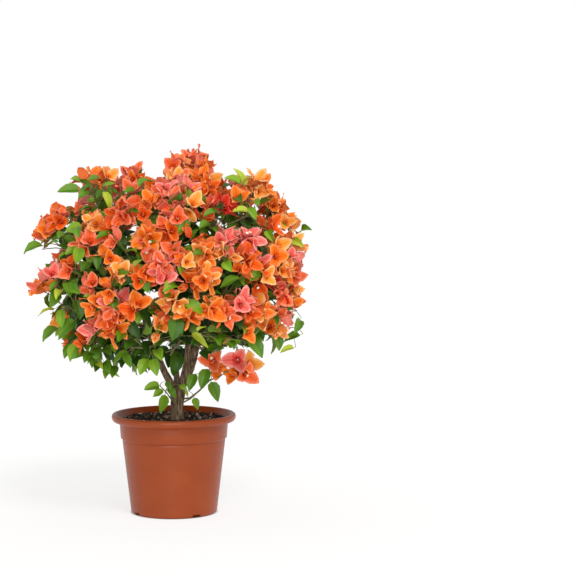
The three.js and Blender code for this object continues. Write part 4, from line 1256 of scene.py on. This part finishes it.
for leaves_at, path in low_paths:
    start, along = point_along(trunk_line, leaves_at)
    points = [start] + [in_plane(*knot) for knot in path]
    radii = [2.6 - 1.3 * i / (len(points) - 1) for i in range(len(points))]
    twig_runs["low"].append((points, radii))
    for share in (0.4, 0.55, 0.7, 0.85, 0.99):
        low_wood.append(point_along(points, share))
blossom_root = low_wood[4]  # the end of the first shoot, on the right
for name in ("bough_left", "bough_centre", "bough_right", "bough_back"):
    low_wood += [point_along(limb_lines[name], share) for share in (0.3, 0.36, 0.42, 0.48)]
for x, y, front, tint, size, (aside, upward) in low_blossoms:
    axis = Vector((aside, -0.9, upward)).normalized()
    root = in_plane(x, y, front) - axis * (LOW_STALK + BLOSSOM_MIDDLE * size)
    start, along = blossom_root
    grow_twig(twig_runs["low"], start, along, root, axis, thick=1.2, thin=0.9)
    grow_blossom("low", root, axis, LOW_STALK, size, tint, stars=int(tint == "c"), margin=None)
for x0, y0, x1, y1, tint, front in low_leaves:
    base, tip = in_plane(x0, y0, front), in_plane(x1, y1, front + 8)
    out = (tip - base).normalized()
    start, along = min(low_wood, key=lambda piece: (piece[0] - base).length)
    grow_twig(twig_runs["low"], start, along, base, out, thick=1.0, thin=0.7)
    facing = UP * 0.4 - sight(x0, y0) * 0.9 + jitter(0.15)
    length = (tip - base).length
    grow_leaf("low", base, out, squared(facing, out), length, tint, stalk=0, in_room=False)

# The finishes of the wood that is too thin for relief: the stems and branches are brown and matt,
# and the shoots green-brown and waxy. At this thickness each is one plain colour.
branch_brown = finish("woody_branch", "#6e5a42", Roughness=0.85)
twig_green = finish("young_twig", "#7c7746", Roughness=0.6)
place("branches", tubes("branches", stem_runs, roundness=1), [branch_brown])
for side, held in sides.items():
    crown = [name for name in held if name.startswith("crown") or name == "low_shoot_right"]
    skirt = [name for name in held if name not in crown]
    mesh = tubes(f"twigs_{side}", twig_runs[side], roundness=0)
    place(f"twigs_{side}", mesh, [twig_green])
    mesh = joined(f"leaves_{side}", leaf_shapes, leaf_copies[side], zone_count=3)
    place(f"leaves_{side}", mesh, leaf_finishes, skirt)
    mesh = joined(f"bracts_{side}", bract_shapes, bract_copies[side], zone_count=5)
    place(f"bracts_{side}", mesh, bract_finishes, crown)
    mesh = joined(f"stars_{side}", star_shapes, star_copies[side], zone_count=2)
    place(f"stars_{side}", mesh, star_finishes)


# The floor and the light: a plain pale floor that runs to the horizon under a white surround, a
# soft light from up on the right, and a broad one low in front that reaches under the crown.
FLOOR_GLOW = 0.7
POT_FOOT, CLEAR_OF_POT = 99, 108
ground = bmesh.new()
bmesh.ops.create_grid(ground, x_segments=1, y_segments=1, size=400)
floor = put("floor", mesh_of(ground, "floor"))
pale = finish(
    "pale_floor", "#9a9998", Roughness=0.9, Specular_IOR_Level=0.0,
    Emission_Color=(1, 1, 1, 1), Emission_Strength=FLOOR_GLOW,
)
floor.data.materials.append(pale)
# The floor's own glow fades out under the pot, so that none of it lights the pot's underside.
tree = pale.node_tree
spot = add_node(tree, "ShaderNodeTexCoord", {}, {}).outputs["Object"]
away = add_node(tree, "ShaderNodeVectorMath", {"operation": "LENGTH"}, {0: spot}).outputs["Value"]
clear = add_node(
    tree, "ShaderNodeMapRange", {},
    {0: away, "From Min": POT_FOOT * MM, "From Max": CLEAR_OF_POT * MM, "To Max": FLOOR_GLOW},
)
tree.links.new(clear.outputs[0], tree.nodes["Principled BSDF"].inputs["Emission Strength"])

surround = bpy.data.worlds.new("surround")
surround.use_nodes = True
tree = surround.node_tree
is_backdrop = add_node(tree, "ShaderNodeLightPath", {}, {}).outputs["Is Camera Ray"]
glow = add_node(tree, "ShaderNodeMapRange", {}, {0: is_backdrop, "To Min": 0.7, "To Max": 1})
tree.links.new(glow.outputs[0], tree.nodes["Background"].inputs["Strength"])
tree.nodes["Background"].inputs["Color"].default_value = linear("#ffffff")
bpy.context.scene.world = surround
for name, energy, spread, shines in [
    ("high_light", 1.1, 20, (-0.3, 0.8, -1)), ("front_light", 1.95, 35, (0.08, 1, -0.02)),
]:
    light = bpy.data.lights.new(name, "SUN")
    light.angle = math.radians(spread)
    light.energy = energy
    holder = put(name, light)
    holder.rotation_euler = Vector(shines).to_track_quat("-Z", "Y").to_euler()
